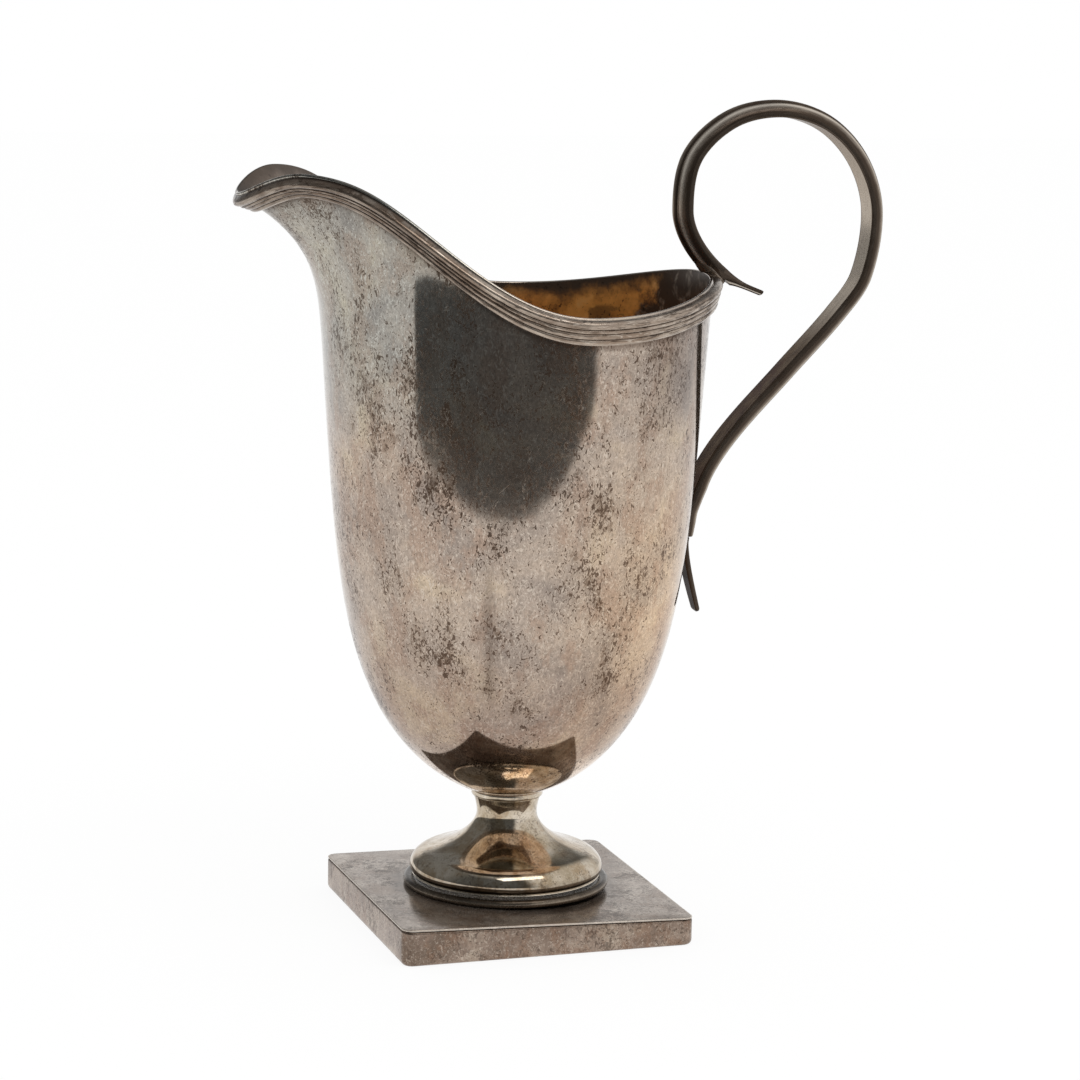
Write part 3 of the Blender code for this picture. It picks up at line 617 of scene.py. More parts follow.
def rim_height(angle):
    """Height of the wall's edge: down from the back to the dip, up to the crest and down to the lip."""
    a = from_handle(angle)
    back = RIM_BACK_RISE * (1.0 - ease(a, 0.0, RIM_DIP_ANGLE))
    climb = ease(a, RIM_DIP_ANGLE, RIM_CREST_ANGLE) ** RIM_CREST_POWER
    droop = ease(a, RIM_CREST_ANGLE, np.pi)
    return RIM_DIP_HEIGHT + back + RIM_CREST_RISE * climb - LIP_DROOP * droop


def wall_point(angle, z):
    """Point on the wall's outside: the round bowl, plus the lip's reach, shared round the front by two
    powers of a cosine and growing as a power of the height above the flare's start."""
    top = rim_height(angle)
    front = 0.5 - 0.5 * np.cos(angle)
    lip = LIP_FLANK_SHARE * front ** LIP_FLANK_POWER + (1.0 - LIP_FLANK_SHARE) * front ** LIP_BEAK_POWER
    rise = np.maximum(z - FLARE_START_HEIGHT, 0.0) / (top - FLARE_START_HEIGHT)
    radius = round_radius(z) + lip * (LIP_REACH - round_radius(top)) * rise ** FLARE_POWER
    return np.stack(np.broadcast_arrays(radius * np.cos(angle), radius * np.sin(angle), z), axis=-1)


def unit(vectors):
    """Vectors of length 1."""
    return vectors / np.linalg.norm(vectors, axis=-1, keepdims=True)


def wall_directions(angle, z):
    """Outward normal of the wall and its upward direction, from short steps along it."""
    step = 0.02
    turn_step = 0.002
    z = np.maximum(z, 2.0 * step)
    along = wall_point(angle + turn_step, z) - wall_point(angle - turn_step, z)
    up = wall_point(angle, z + step) - wall_point(angle, z - step)
    return unit(np.cross(along, up)), unit(up)


# Raised silver: a beige-grey film, cooler at the lip and yellower low down, with ragged brown stains, specks
# and fine scratches that show pale where the wall mirrors the dark of the room
raised_silver = silver_finish(
    "tarnished_raised_silver",
    tones=("#9b8e84", "#ad9e91", "#b7a696", "#c2b09a"), blush="#a58d7c", patch="#7a6656", fleck="#4d3a2d",
    worn="#dccfc0",
    sizes={"run": 0.6, "cloud": 17.0, "blush": 7.0, "grain": 0.5, "gather": 10.0, "patch": 2.0, "fleck": 0.5,
           "curl": 0.8, "scratch": 1.8, "wave": 11.0},
    amounts={"blush": 0.65, "grain": 0.28, "patch": 0.6, "fleck": 0.85, "curl": 0.6, "scratch": 0.5,
             "wave": 0.03, "relief": 0.001},
    roughness=(0.07, 0.32))

# The wall's colour is scaled over spans across the jug and up it: cool and clear at the lip, golden
# low on the handle's side, darker under the rim there and towards the stem, and lighter again close to it
WALL_TINTS = (((-12.0, -36.0), (82.0, 106.0), (0.85, 0.97, 1.04)),
              ((-14.0, 14.0), (92.0, 62.0), (1.26, 1.15, 0.99)),
              ((0.0, 14.0), (86.0, 102.0), (0.68, 0.68, 0.70)),
              ((-120.0, -110.0), (60.0, 40.0), (0.79, 0.75, 0.74)),
              ((-120.0, -110.0), (35.0, 28.0), (1.95, 2.05, 2.1)))
raised_tree = raised_silver.node_tree
raised_shader = raised_tree.nodes["Principled BSDF"]
wall_place = add(raised_tree, "SeparateXYZ", {0: add(raised_tree, "TexCoord").outputs["Object"]})
for across_span, height_span, tint in WALL_TINTS:
    tint_share = 1.0
    for axis, (start, end) in (("X", across_span), ("Z", height_span)):
        tint_share = add(raised_tree, "MapRange", {"Value": wall_place.outputs[axis], "From Min": start * MM,
                                                   "From Max": end * MM, "To Max": tint_share},
                         interpolation_type="SMOOTHSTEP").outputs[0]
    untinted = raised_shader.inputs["Base Color"].links[0].from_socket
    tinted = add(raised_tree, "Mix", {0: tint_share, 6: untinted, 7: (*tint, 1.0)}, data_type="RGBA",
                 blend_type="MULTIPLY")
    raised_tree.links.new(tinted.outputs[2], raised_shader.inputs["Base Color"])

# Fire gilding: amber gold on the bowl's inside, brown under the edge and worn through to dark silver behind
# the handle, with a painted reflection of a dark thing as a brown oval, and black pits. Turns are radians
# from the handle, depths are below the edge
GILT_CLOUD = 9.0
GILT_PIT = 0.7
GILT_PIT_GATHERING = -0.6
GILT_SMEAR = 3.5
GILT_WOBBLE_DEPTH = 1.8
GILT_WOBBLE_TURN = 0.16
GILT_BORDER = (0.8, 4.6)
GILT_END = (math.radians(36.0), math.radians(27.0))
GILT_REFLECTION_TURN = math.radians(47.0)
GILT_REFLECTION_DEPTH = 8.5
GILT_REFLECTION_WIDTH = 0.15
GILT_REFLECTION_HEIGHT = 3.6
LIP_START = (math.radians(112.0), math.radians(135.0))
gilding = bpy.data.materials.new("worn_fire_gilding")
gilding.use_nodes = True
gilt_tree = gilding.node_tree
gilt_shader = gilt_tree.nodes["Principled BSDF"]
gilt_place = add(gilt_tree, "TexCoord").outputs["Object"]
gilt_cloud = add(gilt_tree, "TexNoise", {"Vector": gilt_place, "Scale": 1000.0 / GILT_CLOUD, "Detail": 6.0,
                                         "Roughness": 0.66})
gilt_film = add(gilt_tree, "ValToRGB", {"Fac": gilt_cloud.outputs["Fac"]},
                stops=[(0.32, "#8f5c30"), (0.45, "#d3924a"), (0.55, "#f0ab5b"), (0.68, "#f4c07c")])
wobble = add(gilt_tree, "MapRange", {"Value": gilt_cloud.outputs["Fac"], "From Min": 0.3, "From Max": 0.7,
                                     "To Min": -1.0, "To Max": 1.0})
gilt_depth = add(gilt_tree, "Attribute", attribute_name="below_edge")
ragged_depth = add(gilt_tree, "Math", {0: wobble.outputs[0], 1: GILT_WOBBLE_DEPTH,
                                       2: gilt_depth.outputs["Fac"]}, operation="MULTIPLY_ADD")
gilt_turn = add(gilt_tree, "Attribute", attribute_name="turn")
ragged_turn = add(gilt_tree, "Math", {0: wobble.outputs[0], 1: GILT_WOBBLE_TURN,
                                      2: gilt_turn.outputs["Fac"]}, operation="MULTIPLY_ADD")
gilt_border = add(gilt_tree, "MapRange", {"Value": ragged_depth.outputs[0], "From Min": GILT_BORDER[0],
                                          "From Max": GILT_BORDER[1], "To Min": 1.0, "To Max": 0.0},
                  interpolation_type="SMOOTHSTEP")
worn_through = add(gilt_tree, "MapRange", {"Value": ragged_turn.outputs[0], "From Min": GILT_END[0],
                                           "From Max": GILT_END[1]}, interpolation_type="SMOOTHSTEP")
at_lip = add(gilt_tree, "MapRange", {"Value": ragged_turn.outputs[0], "From Min": LIP_START[0],
                                     "From Max": LIP_START[1]}, interpolation_type="SMOOTHSTEP")
# Painted reflection: a brown oval in the gilding, between given turns and depths, where the inside mirrors a
# dark thing
reflection_across = add(gilt_tree, "MapRange", {"Value": ragged_turn.outputs[0], "From Min": GILT_REFLECTION_TURN,
                                          "From Max": GILT_REFLECTION_TURN + GILT_REFLECTION_WIDTH}, clamp=False)
reflection_down = add(gilt_tree, "MapRange", {"Value": gilt_depth.outputs["Fac"], "From Min": GILT_REFLECTION_DEPTH,
                                        "From Max": GILT_REFLECTION_DEPTH + GILT_REFLECTION_HEIGHT}, clamp=False)
reflection_plan = add(gilt_tree, "CombineXYZ", {"X": reflection_across.outputs[0], "Y": reflection_down.outputs[0]})
reflection_way = add(gilt_tree, "VectorMath", {0: reflection_plan.outputs[0]}, operation="LENGTH")
painted_reflection = add(gilt_tree, "MapRange", {"Value": reflection_way.outputs["Value"], "From Min": 1.0, "From Max": 0.8,
                                   "To Max": 0.65}, interpolation_type="SMOOTHSTEP")
pits = add(gilt_tree, "TexNoise", {"Vector": gilt_place, "Scale": 1000.0 / GILT_PIT, "Detail": 3.0,
                                   "Roughness": 0.65, "Distortion": 0.8})
pit_heap = add(gilt_tree, "Math", {0: gilt_cloud.outputs["Fac"], 1: GILT_PIT_GATHERING,
                                   2: pits.outputs["Fac"]}, operation="MULTIPLY_ADD")
pitted = add(gilt_tree, "MapRange", {"Value": pit_heap.outputs[0], "From Min": 0.30, "From Max": 0.42,
                                     "To Max": 0.85}, interpolation_type="SMOOTHSTEP")
smear = add(gilt_tree, "TexNoise", {"Vector": gilt_place, "Scale": 1000.0 / GILT_SMEAR, "Detail": 5.0,
                                    "Roughness": 0.7, "Distortion": 0.5})
smeared = add(gilt_tree, "MapRange", {"Value": smear.outputs["Fac"], "From Min": 0.5, "From Max": 0.66,
                                      "To Max": worn_through.outputs[0]}, interpolation_type="SMOOTHSTEP")
gilt_colour = gilt_film.outputs["Color"]
for share, stain in ((painted_reflection, "#6b4f30"), (at_lip, "#83756a"), (gilt_border, "#4f4339"),
                     (worn_through, "#4a3d33"), (smeared, "#8d8378"), (pitted, "#2b1f16")):
    stained = add(gilt_tree, "Mix", {0: share.outputs[0], 6: gilt_colour, 7: linear(stain)},
                  data_type="RGBA")
    gilt_colour = stained.outputs[2]
gilt_tree.links.new(gilt_colour, gilt_shader.inputs["Base Color"])
gilt_shader.inputs["Metallic"].default_value = 0.74
gilt_shader.inputs["Roughness"].default_value = 0.32

bowl_turn = crowded_turn(BOWL_STEPS)
edge_height = rim_height(bowl_turn)
edge_normal, edge_up = wall_directions(bowl_turn, edge_height)
shoulder_height = edge_height - BOWL_SHEET / 2.0 * edge_up[:, 2]
outer_share = ease(np.linspace(0.0, 1.0, OUTER_ROWS))[:, None]
outer_height = outer_share * shoulder_height
outer_wall = wall_point(bowl_turn[None, :], outer_height)
inner_share = ease(np.linspace(1.0, 0.0, INNER_ROWS))[:, None]
inner_height = inner_share * shoulder_height
inner_normal = wall_directions(bowl_turn[None, :], inner_height)[0]
inner_wall = wall_point(bowl_turn[None, :], inner_height) - BOWL_SHEET * inner_normal
inner_wall[-1] = (0.0, 0.0, BOWL_SHEET)
edge_radius = BOWL_SHEET / 2.0
edge_middle = outer_wall[-1] - edge_radius * edge_normal
edge_arc = np.linspace(0.0, np.pi, EDGE_ROWS + 2)[1:-1, None, None]
edge_round = edge_middle + edge_radius * (np.cos(edge_arc) * edge_normal + np.sin(edge_arc) * edge_up)
bowl_grid = np.concatenate([outer_wall, edge_round, inner_wall])
below_edge = np.concatenate([edge_height - outer_height, np.zeros((EDGE_ROWS, BOWL_STEPS)),
                             edge_height - inner_height])
edge_worn = EDGE_WEAR * bell(below_edge, EDGE_WEAR_DEPTH)
edge_worn = edge_worn * ease(EDGE_WEAR_GROWTH * (1.0 + np.cos(bowl_turn)))
outer_steps = np.linalg.norm(np.diff(outer_wall, axis=0), axis=-1)[::-1]
outer_way = np.concatenate([np.zeros((1, BOWL_STEPS)), np.cumsum(outer_steps, axis=0)])[::-1]
seam_way = outer_way - RIM_SEAM_DEPTH
lip_shade_share = ease(from_handle(bowl_turn), *RIM_LIP_SHADE_SPAN)
# A dark line of dirt and painted shade in the seam under the moulding, and a wider painted shade round the
# front
seam_dirt_and_shade = RIM_SEAM_DIRT_AND_SHADE * bell(seam_way, RIM_SEAM_WIDTH)
seam_dirt_and_shade = seam_dirt_and_shade + RIM_LIP_SHADE * lip_shade_share * bell(seam_way, RIM_LIP_SHADE_WIDTH)
streak_across = bell((bowl_turn - STREAK_TURN) * BOWL_RADIUS, STREAK_WIDTH)
streak_dirt = STREAK_DIRT * streak_across * bell(outer_height - STREAK_HEIGHT, STREAK_REACH, power=4)
bowl_dirt_and_shade = np.concatenate([seam_dirt_and_shade + streak_dirt, np.zeros((EDGE_ROWS + INNER_ROWS, BOWL_STEPS))])
bowl_coats = np.repeat([0, 1], [OUTER_ROWS + EDGE_ROWS - 1, INNER_ROWS])
bowl = surface("bowl_raising", bowl_grid + [0.0, 0.0, bowl_base], [raised_silver, gilding], poles=True,
               marks={"edge": edge_worn, "hollow": bowl_dirt_and_shade, "below_edge": below_edge,
                      "turn": from_handle(bowl_turn)},
               coat_rows=bowl_coats)
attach(bowl, "root")
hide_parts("bowl")


# Rim moulding
# A drawn wire with four reeds, soldered round the bowl just under its edge and widest at the top. The
# grooves hold brown dirt, most of all at the lip, and the lowest line carries a painted highlight.
MOULDING_DROP = 0.25
MOULDING_PROUD_TOP = 1.8
MOULDING_PROUD_FOOT = 1.0
REED_WIDTHS = (1.5, 0.7, 1.0, 1.0)
MOULDING_GROOVE = 0.28
MOULDING_SHOULDER = 1.1
SHOULDER_DIRT = 0.25
# The back of the wire is let into the wall a little, from its foot up to its head
MOULDING_SINK = 0.05
MOULDING_FOOT_OUT = 0.35
MOULDING_HEAD_OUT = 0.3
MOULDING_BACK_DIRT = (0.0, 0.5, 0.5, 0.8, 0.8)
RIM_GROOVE_DIRT = 0.8
RIM_LIP_DIRT = 0.36
RIM_LIP_SPAN = (0.55 * math.pi, 0.85 * math.pi)
RIM_FOOT_HIGHLIGHT = 0.6
RIM_FOOT_HIGHLIGHT_WIDTH = 0.25
REED_STEPS = 13
RIM_STEPS = 640


def below_rim(angle, distance):
    """Height of the point a distance down the wall from its edge, in short steps down its slope."""
    z = rim_height(angle)
    steps = 8
    for _ in range(steps):
        up = wall_directions(angle, z)[1]
        z = z - distance / steps * up[..., 2]
    return z


def moulding_profile():
    """(distance down the wall, distance out from it, hollow mark) round the wire's section: each reed is half
    an ellipse, set on a line that leans in towards the foot, and the top one falls further to the wall's
    edge."""
    share = 0.5 - 0.5 * np.cos(np.linspace(0.0, np.pi, REED_STEPS))
    starts = np.concatenate([[0.0], np.cumsum(REED_WIDTHS)])
    down = starts[:-1, None] + np.array(REED_WIDTHS)[:, None] * share
    proud = MOULDING_PROUD_TOP + (MOULDING_PROUD_FOOT - MOULDING_PROUD_TOP) * down / starts[-1]
    fall = 1.0 - np.sqrt(np.maximum(1.0 - (2.0 * share - 1.0) ** 2, 0.0))
    out = proud - MOULDING_GROOVE * fall
    out[0] = np.where(share < 0.5, proud[0] - MOULDING_SHOULDER * fall, out[0])
    hollow = np.tile(fall ** 2, (len(REED_WIDTHS), 1))
    hollow[0] = np.where(share < 0.5, SHOULDER_DIRT * fall, hollow[0])
    reeds = np.stack([MOULDING_DROP + down, out, hollow], axis=-1)
    # Neighbouring reeds share the point in the groove between them
    reeds = np.concatenate([reeds[0], reeds[1:, 1:].reshape(-1, 3)])
    head = MOULDING_DROP
    foot = head + starts[-1]
    back_down = (foot, foot - MOULDING_SINK, foot / 2.0, head + MOULDING_SINK, head)
    back_out = (MOULDING_FOOT_OUT, -MOULDING_SINK, -MOULDING_SINK, -MOULDING_SINK, MOULDING_HEAD_OUT)
    return np.concatenate([reeds, np.stack([back_down, back_out, MOULDING_BACK_DIRT], axis=-1)])


def moulding_section(angle):
    """The wire's section laid on the wall, for all the angles at once: rows along the profile."""
    profile = moulding_profile()
    turn = np.broadcast_to(np.asarray(angle, float)[None, :], (len(profile), len(angle)))
    z = below_rim(turn, profile[:, 0][:, None])
    return wall_point(turn, z) + profile[:, 1][:, None, None] * wall_directions(turn, z)[0]


def way_along(points):
    """Distance along a line of points from its first one."""
    return np.concatenate([[0.0], np.cumsum(np.linalg.norm(np.diff(points, axis=0), axis=1))])


# Drawn silver wire: grey-brown and streaked along the reeds, with dirt in the grooves
reeded_silver = silver_finish(
    "worn_reeded_silver_wire",
    tones=("#7d6d60", "#918173", "#a39486", "#b5a798"), blush="#85705e", patch="#66574a", fleck="#3c2f26",
    worn="#d8ccbe",
    sizes={"run": 1.0, "cloud": 6.0, "blush": 1.6, "grain": 0.35, "gather": 3.0, "patch": 0.9, "fleck": 0.4,
           "curl": 0.5, "scratch": 1.5, "wave": 5.0},
    amounts={"blush": 0.6, "grain": 0.2, "patch": 0.55, "fleck": 0.7, "curl": 0.5, "scratch": 0.4,
             "wave": 0.01, "relief": 0.004},
    roughness=(0.2, 0.42), lay=9.0, metallic=0.85)

rim_turn = crowded_turn(RIM_STEPS)
rim_shape = moulding_profile()
rim_grid = moulding_section(rim_turn)
rim_down = rim_shape[:, 0][:, None]
# Painted highlight: a light line along the moulding's lowest edge
rim_foot_highlight = RIM_FOOT_HIGHLIGHT * bell(rim_down - rim_down.max(), RIM_FOOT_HIGHLIGHT_WIDTH)
lip_dirt = RIM_LIP_DIRT * ease(from_handle(rim_turn), *RIM_LIP_SPAN)
rim_dirt = np.minimum(RIM_GROOVE_DIRT * rim_shape[:, 2][:, None] + lip_dirt, 1.0)
rim_moulding = surface("rim_moulding_wire", rim_grid + [0.0, 0.0, bowl_base], [reeded_silver],
                       marks={"hollow": rim_dirt, "edge": rim_foot_highlight, "along": way_along(rim_grid[0]),
                              "across": rim_down})
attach(rim_moulding, "root")
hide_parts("rim_moulding")


# Handle
# A drawn strap with three reeds on its outer face, bent into a high loop, soldered to the rim where it
# passes and to the wall below. Above the rim it is drawn out to a thin tongue.
STRAP_WIDTH = 6.2
STRAP_THICKNESS = 3.0
STRAP_EDGE = 1.3
STRAP_REEDS = 3
STRAP_GROOVE = 0.4
STRAP_END_THICKNESS = 2.4
STRAP_END_ROUNDING = 0.6
STRAP_END_SHARE = 0.75
STRAP_TAPER = 9.0
STRAP_SEAT = 5.0
STRAP_CORNER = 0.3
SIDE_EDGE = 0.03
INNER_FACE_SHARE = 0.8
HANDLE_DROP = 47.4
JOINT_GAP = 0.3
RIM_CONTACT_SLOPE = math.radians(42.0)
RIM_SEAT_DEPTH = 1.3
RIM_SEAT_LENGTH = 7.0
TONGUE_OUT = 9.0
TONGUE_DROP = 3.9
TONGUE_MIDDLE = (4.0, -1.9)
TONGUE_WIDTH = 2.8
TONGUE_THICKNESS = 1.0
TONGUE_GROWTH_POWER = 3.0
LOOP_RADIUS = 18.25
LOOP_OUT = 11.3
LOOP_UP = 11.0
# The loop as shares of its radius: even steps over the top from left to right, and three more by their angles
LOOP_SHARES = (0.978, 1.032, 1.015, 0.98, 0.97, 0.972, 1.006)
LOOP_FALL = (math.radians(199.0), 0.93)
LOOP_SHOULDER = (math.radians(-35.0), 1.12)
RUN_TOP = (math.radians(-56.0), 1.21)
# The run's foot and the bend under it, as (out, up) offsets from the seat on the bowl
RUN_FOOT = (7.3, 13.9)
BEND = (2.4, 6.8)
# Wear and painted highlights on the reeds' crests, more on the outer two, and dirt of the face, its grooves
# and the sides
REED_WEAR_AND_HIGHLIGHT = 0.5
OUTER_REED_WEAR_AND_HIGHLIGHT = 0.45
OUTER_REED_SPAN = (0.6, 1.4)
REED_HIGHLIGHT_POWER = 24
FACE_DIRT = 0.5
GROOVE_DIRT = 0.45
GROOVE_SPAN = (0.05, 0.45)
NEAR_RIM_DIRT = 0.5
NEAR_RIM_SPAN = (14.0, 22.0)
SIDE_DIRT = 0.85
# The inner face is pale between two spans along the strap, with wear and a painted highlight, and elsewhere
# dark with dirt and painted shade, less so further down
INNER_PALE_START = (42.0, 60.0)
INNER_PALE_END = (94.0, 114.0)
INNER_WEAR_AND_HIGHLIGHT = 0.8
INNER_DIRT_AND_SHADE = (0.9, 0.55)
INNER_DIRT_AND_SHADE_SPAN = (60.0, 90.0)
STRAP_ROWS = 520
STRAP_FACE_STEPS = 61
STRAP_CORNER_STEPS = 6
STRAP_INNER_STEPS = 9

contact_towards = np.array([math.sin(RIM_CONTACT_SLOPE), math.cos(RIM_CONTACT_SLOPE)])


def smooth_curve(points, steps):
    """Even points on a cubic curve through the given ones, each with the slope between its neighbours."""
    points = np.asarray(points, float)
    knots = way_along(points)
    before = np.maximum(np.arange(len(points)) - 1, 0)
    after = np.minimum(np.arange(len(points)) + 1, len(points) - 1)
    slopes = (points[after] - points[before]) / (knots[after] - knots[before])[:, None]
    along = np.linspace(0.0, knots[-1], steps)
    i = np.clip(np.searchsorted(knots, along, side="right") - 1, 0, len(points) - 2)
    span = (knots[i + 1] - knots[i])[:, None]
    t = (along - knots[i])[:, None] / span
    return (points[i] * (1.0 + 2.0 * t) * (1.0 - t) ** 2 + slopes[i] * span * t * (1.0 - t) ** 2
            + points[i + 1] * t * t * (3.0 - 2.0 * t) + slopes[i + 1] * span * t * t * (t - 1.0))


def handle_route():
    """Where the strap passes the rim, and the places of its middle line as (x, z) points: tongue, rim
    contact, loop, run and seat on the bowl."""
    half = STRAP_THICKNESS / 2.0
    back = np.zeros(1)
    edge = wall_point(back, rim_height(back))
    rim = np.concatenate([moulding_section(back)[:, 0], edge])[:, [0, 2]]
    rim_top = rim[np.argmax(rim @ contact_towards)]
    contact = rim_top + contact_towards * (half - RIM_SEAT_DEPTH + JOINT_GAP)
    loop = contact + [LOOP_OUT, LOOP_UP]
    end_height = rim_height(back) - HANDLE_DROP

    def on_loop(angle, share):
        """Point at an angle round the loop's middle, a share of its radius away."""
        return loop + share * LOOP_RADIUS * np.array([math.cos(angle), math.sin(angle)])

    def on_bowl(height):
        """Point of the middle line where the strap lies on the bowl."""
        normal = wall_directions(back, height)[0]
        return (wall_point(back, height) + (half + JOINT_GAP) * normal)[0, [0, 2]]

    end = on_bowl(end_height)
    seat = on_bowl(end_height + STRAP_SEAT)
    turn = np.pi / (len(LOOP_SHARES) - 1)
    over_the_top = [on_loop(np.pi - i * turn, share) for i, share in enumerate(LOOP_SHARES)]
    run_top = on_loop(*RUN_TOP)
    run_foot = seat + RUN_FOOT
    places = [contact + [TONGUE_OUT, -TONGUE_DROP], contact + TONGUE_MIDDLE, contact, on_loop(*LOOP_FALL),
              *over_the_top, on_loop(*LOOP_SHOULDER), run_top, (run_top + run_foot) / 2.0, run_foot,
              seat + BEND, seat, (seat + end) / 2.0, end]
    return contact, places


def reeded_face(reeds):
    """(share of the width, dip) across a strap's outer face, cut into reeds that are each half an ellipse."""
    across = np.linspace(0.5, -0.5, STRAP_FACE_STEPS)
    reed = np.remainder((across + 0.5) * reeds, 1.0)
    dip = 1.0 - np.sqrt(np.maximum(1.0 - (2.0 * reed - 1.0) ** 2, 0.0))
    return across, dip


def round_end(way, radius):
    """Share of the full width at a way from a rounded end: a quarter circle."""
    return np.sqrt(np.clip(1.0 - (1.0 - np.minimum(way / radius, 1.0)) ** 2, 0.0, 1.0))


def sweep(path, across, outward):
    """Grid of a section carried along a path in the jug's middle plane: across it, and out along its left
    side."""
    run = unit(np.gradient(path, axis=0))
    x = path[:, :1] - run[:, 1:] * outward
    z = path[:, 1:] + run[:, :1] * outward
    return np.stack(np.broadcast_arrays(x, across, z), axis=-1)


# Drawn silver strap: the same metal gone darker, brown-black in the grooves and pale along the reeds with
# wear and painted highlights. A tint of its grazing light takes the glare off the edges, as the dull film
# does
strap_silver = silver_finish(
    "dark_reeded_silver_strap",
    tones=("#7a6e64", "#8d8176", "#9f9285", "#b0a395"), blush="#85725e", patch="#665a4f", fleck="#3a3028",
    worn="#d9cfc2",
    sizes={"run": 1.0, "cloud": 7.0, "blush": 2.0, "grain": 0.4, "gather": 3.5, "patch": 1.0, "fleck": 0.45,
           "curl": 0.6, "scratch": 1.5, "wave": 6.0},
    amounts={"blush": 0.5, "grain": 0.14, "patch": 0.4, "fleck": 0.5, "curl": 0.3, "scratch": 0.4,
             "wave": 0.01, "relief": 0.002},
    roughness=(0.23, 0.42), lay=8.0, metallic=0.75)
strap_shader = strap_silver.node_tree.nodes["Principled BSDF"]
strap_shader.inputs["Specular Tint"].default_value = linear("#8a8078")

rim_contact, strap_places = handle_route()
handle_path = smooth_curve(strap_places, STRAP_ROWS)
handle_along = way_along(handle_path)[:, None]
handle_left = handle_along[-1] - handle_along

# Width and thickness along the strap, which grows from the tongue, tapers to its lower end and is rounded off
growth = ease(handle_along, 0.0, math.hypot(TONGUE_OUT, TONGUE_DROP)) ** TONGUE_GROWTH_POWER
end_cap = STRAP_END_SHARE + (1.0 - STRAP_END_SHARE) * round_end(handle_left, STRAP_END_ROUNDING)
ends = round_end(handle_along, STRAP_END_ROUNDING) * end_cap * np.where(handle_left == 0.0, 0.0, 1.0)
width = (TONGUE_WIDTH + (STRAP_WIDTH - TONGUE_WIDTH) * growth) * ends
to_end = np.clip(1.0 - handle_left / STRAP_TAPER, 0.0, 1.0)
taper = (STRAP_THICKNESS - STRAP_END_THICKNESS) * to_end
thickness = (TONGUE_THICKNESS + (STRAP_THICKNESS - TONGUE_THICKNESS) * growth - taper) * ends
thickness_share = thickness / STRAP_THICKNESS

# The section at each place: the crowned and reeded face, filed where it passes the rim, and the plain sides
face_across, face_dip = reeded_face(STRAP_REEDS)
from_contact = np.linalg.norm(handle_path - rim_contact, axis=1)[:, None] / (RIM_SEAT_LENGTH / 2.0)
filed = RIM_SEAT_DEPTH * np.maximum(1.0 - from_contact ** 2, 0.0)
crown_fall = (STRAP_THICKNESS - STRAP_EDGE) * (2.0 * face_across) ** 2
crown = thickness / 2.0 - thickness_share * (crown_fall + STRAP_GROOVE * face_dip)
face_out = np.minimum(crown, thickness / 2.0 - filed)
corner_turn = np.linspace(0.0, np.pi / 2.0, STRAP_CORNER_STEPS)
corner = STRAP_CORNER * thickness_share
left_across = -width / 2.0 + corner * (1.0 - np.cos(corner_turn))
left_across = np.concatenate([-width / 2.0, left_across], axis=1)
left_out = -thickness / 2.0 + corner * (1.0 - np.sin(corner_turn))
left_out = np.concatenate([face_out[:, -1:] - SIDE_EDGE * thickness, left_out], axis=1)
inner_across = width / 2.0 * np.linspace(-INNER_FACE_SHARE, INNER_FACE_SHARE, STRAP_INNER_STEPS)
inner_out = np.broadcast_to(-thickness / 2.0, inner_across.shape)
strap_across = np.concatenate([width * face_across, left_across, inner_across, -left_across[:, ::-1]], axis=1)
strap_out = np.concatenate([face_out, left_out, inner_out, left_out[:, ::-1]], axis=1)
strap_out = strap_out - taper / 2.0 - JOINT_GAP * to_end

# Wear with painted highlights, and dirt with painted shade
outer_reed = ease(np.abs(face_across) * 2.0 * STRAP_REEDS, *OUTER_REED_SPAN)
# Wear and a painted highlight along each reed's crest, more on the outer reeds
face_worn_and_lit = (REED_WEAR_AND_HIGHLIGHT + OUTER_REED_WEAR_AND_HIGHLIGHT * outer_reed) * (1.0 - face_dip) ** REED_HIGHLIGHT_POWER
near_rim = NEAR_RIM_DIRT * (1.0 - ease(handle_along, *NEAR_RIM_SPAN))
face_dirt = FACE_DIRT + GROOVE_DIRT * ease(face_dip, *GROOVE_SPAN) + near_rim
face_dirt = np.minimum(face_dirt, FACE_DIRT + GROOVE_DIRT)
# Inner face: wear and a painted highlight between two spans along the strap, dirt and painted shade elsewhere
inner_pale = ease(handle_along, *INNER_PALE_START) * (1.0 - ease(handle_along, *INNER_PALE_END))
inner_old_dirt_and_shade = INNER_DIRT_AND_SHADE[0] + (INNER_DIRT_AND_SHADE[1] - INNER_DIRT_AND_SHADE[0]) * ease(handle_along, *INNER_DIRT_AND_SHADE_SPAN)
inner_dirt_and_shade = np.broadcast_to(inner_old_dirt_and_shade * (1.0 - inner_pale), inner_across.shape)
inner_worn_and_lit = np.broadcast_to(INNER_WEAR_AND_HIGHLIGHT * inner_pale, inner_across.shape)
side_dirt = np.full(left_out.shape, SIDE_DIRT)
side_worn = np.zeros(left_out.shape)
strap_dirt_and_shade = np.concatenate([face_dirt, side_dirt, inner_dirt_and_shade, side_dirt], axis=1)
face_worn_and_lit = np.broadcast_to(face_worn_and_lit, face_out.shape)
strap_worn_and_lit = np.concatenate([face_worn_and_lit, side_worn, inner_worn_and_lit, side_worn], axis=1)
section_way = np.hypot(np.diff(strap_across, axis=1), np.diff(strap_out, axis=1))
strap_lay = np.concatenate([np.zeros((STRAP_ROWS, 1)), np.cumsum(section_way, axis=1)], axis=1)
handle = surface("handle_strap", sweep(handle_path, strap_across, strap_out) + [0.0, 0.0, bowl_base],
                 [strap_silver], poles=True,
                 marks={"hollow": strap_dirt_and_shade, "edge": strap_worn_and_lit, "along": handle_along,
                        "across": strap_lay})
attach(handle, "root")
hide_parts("handle")


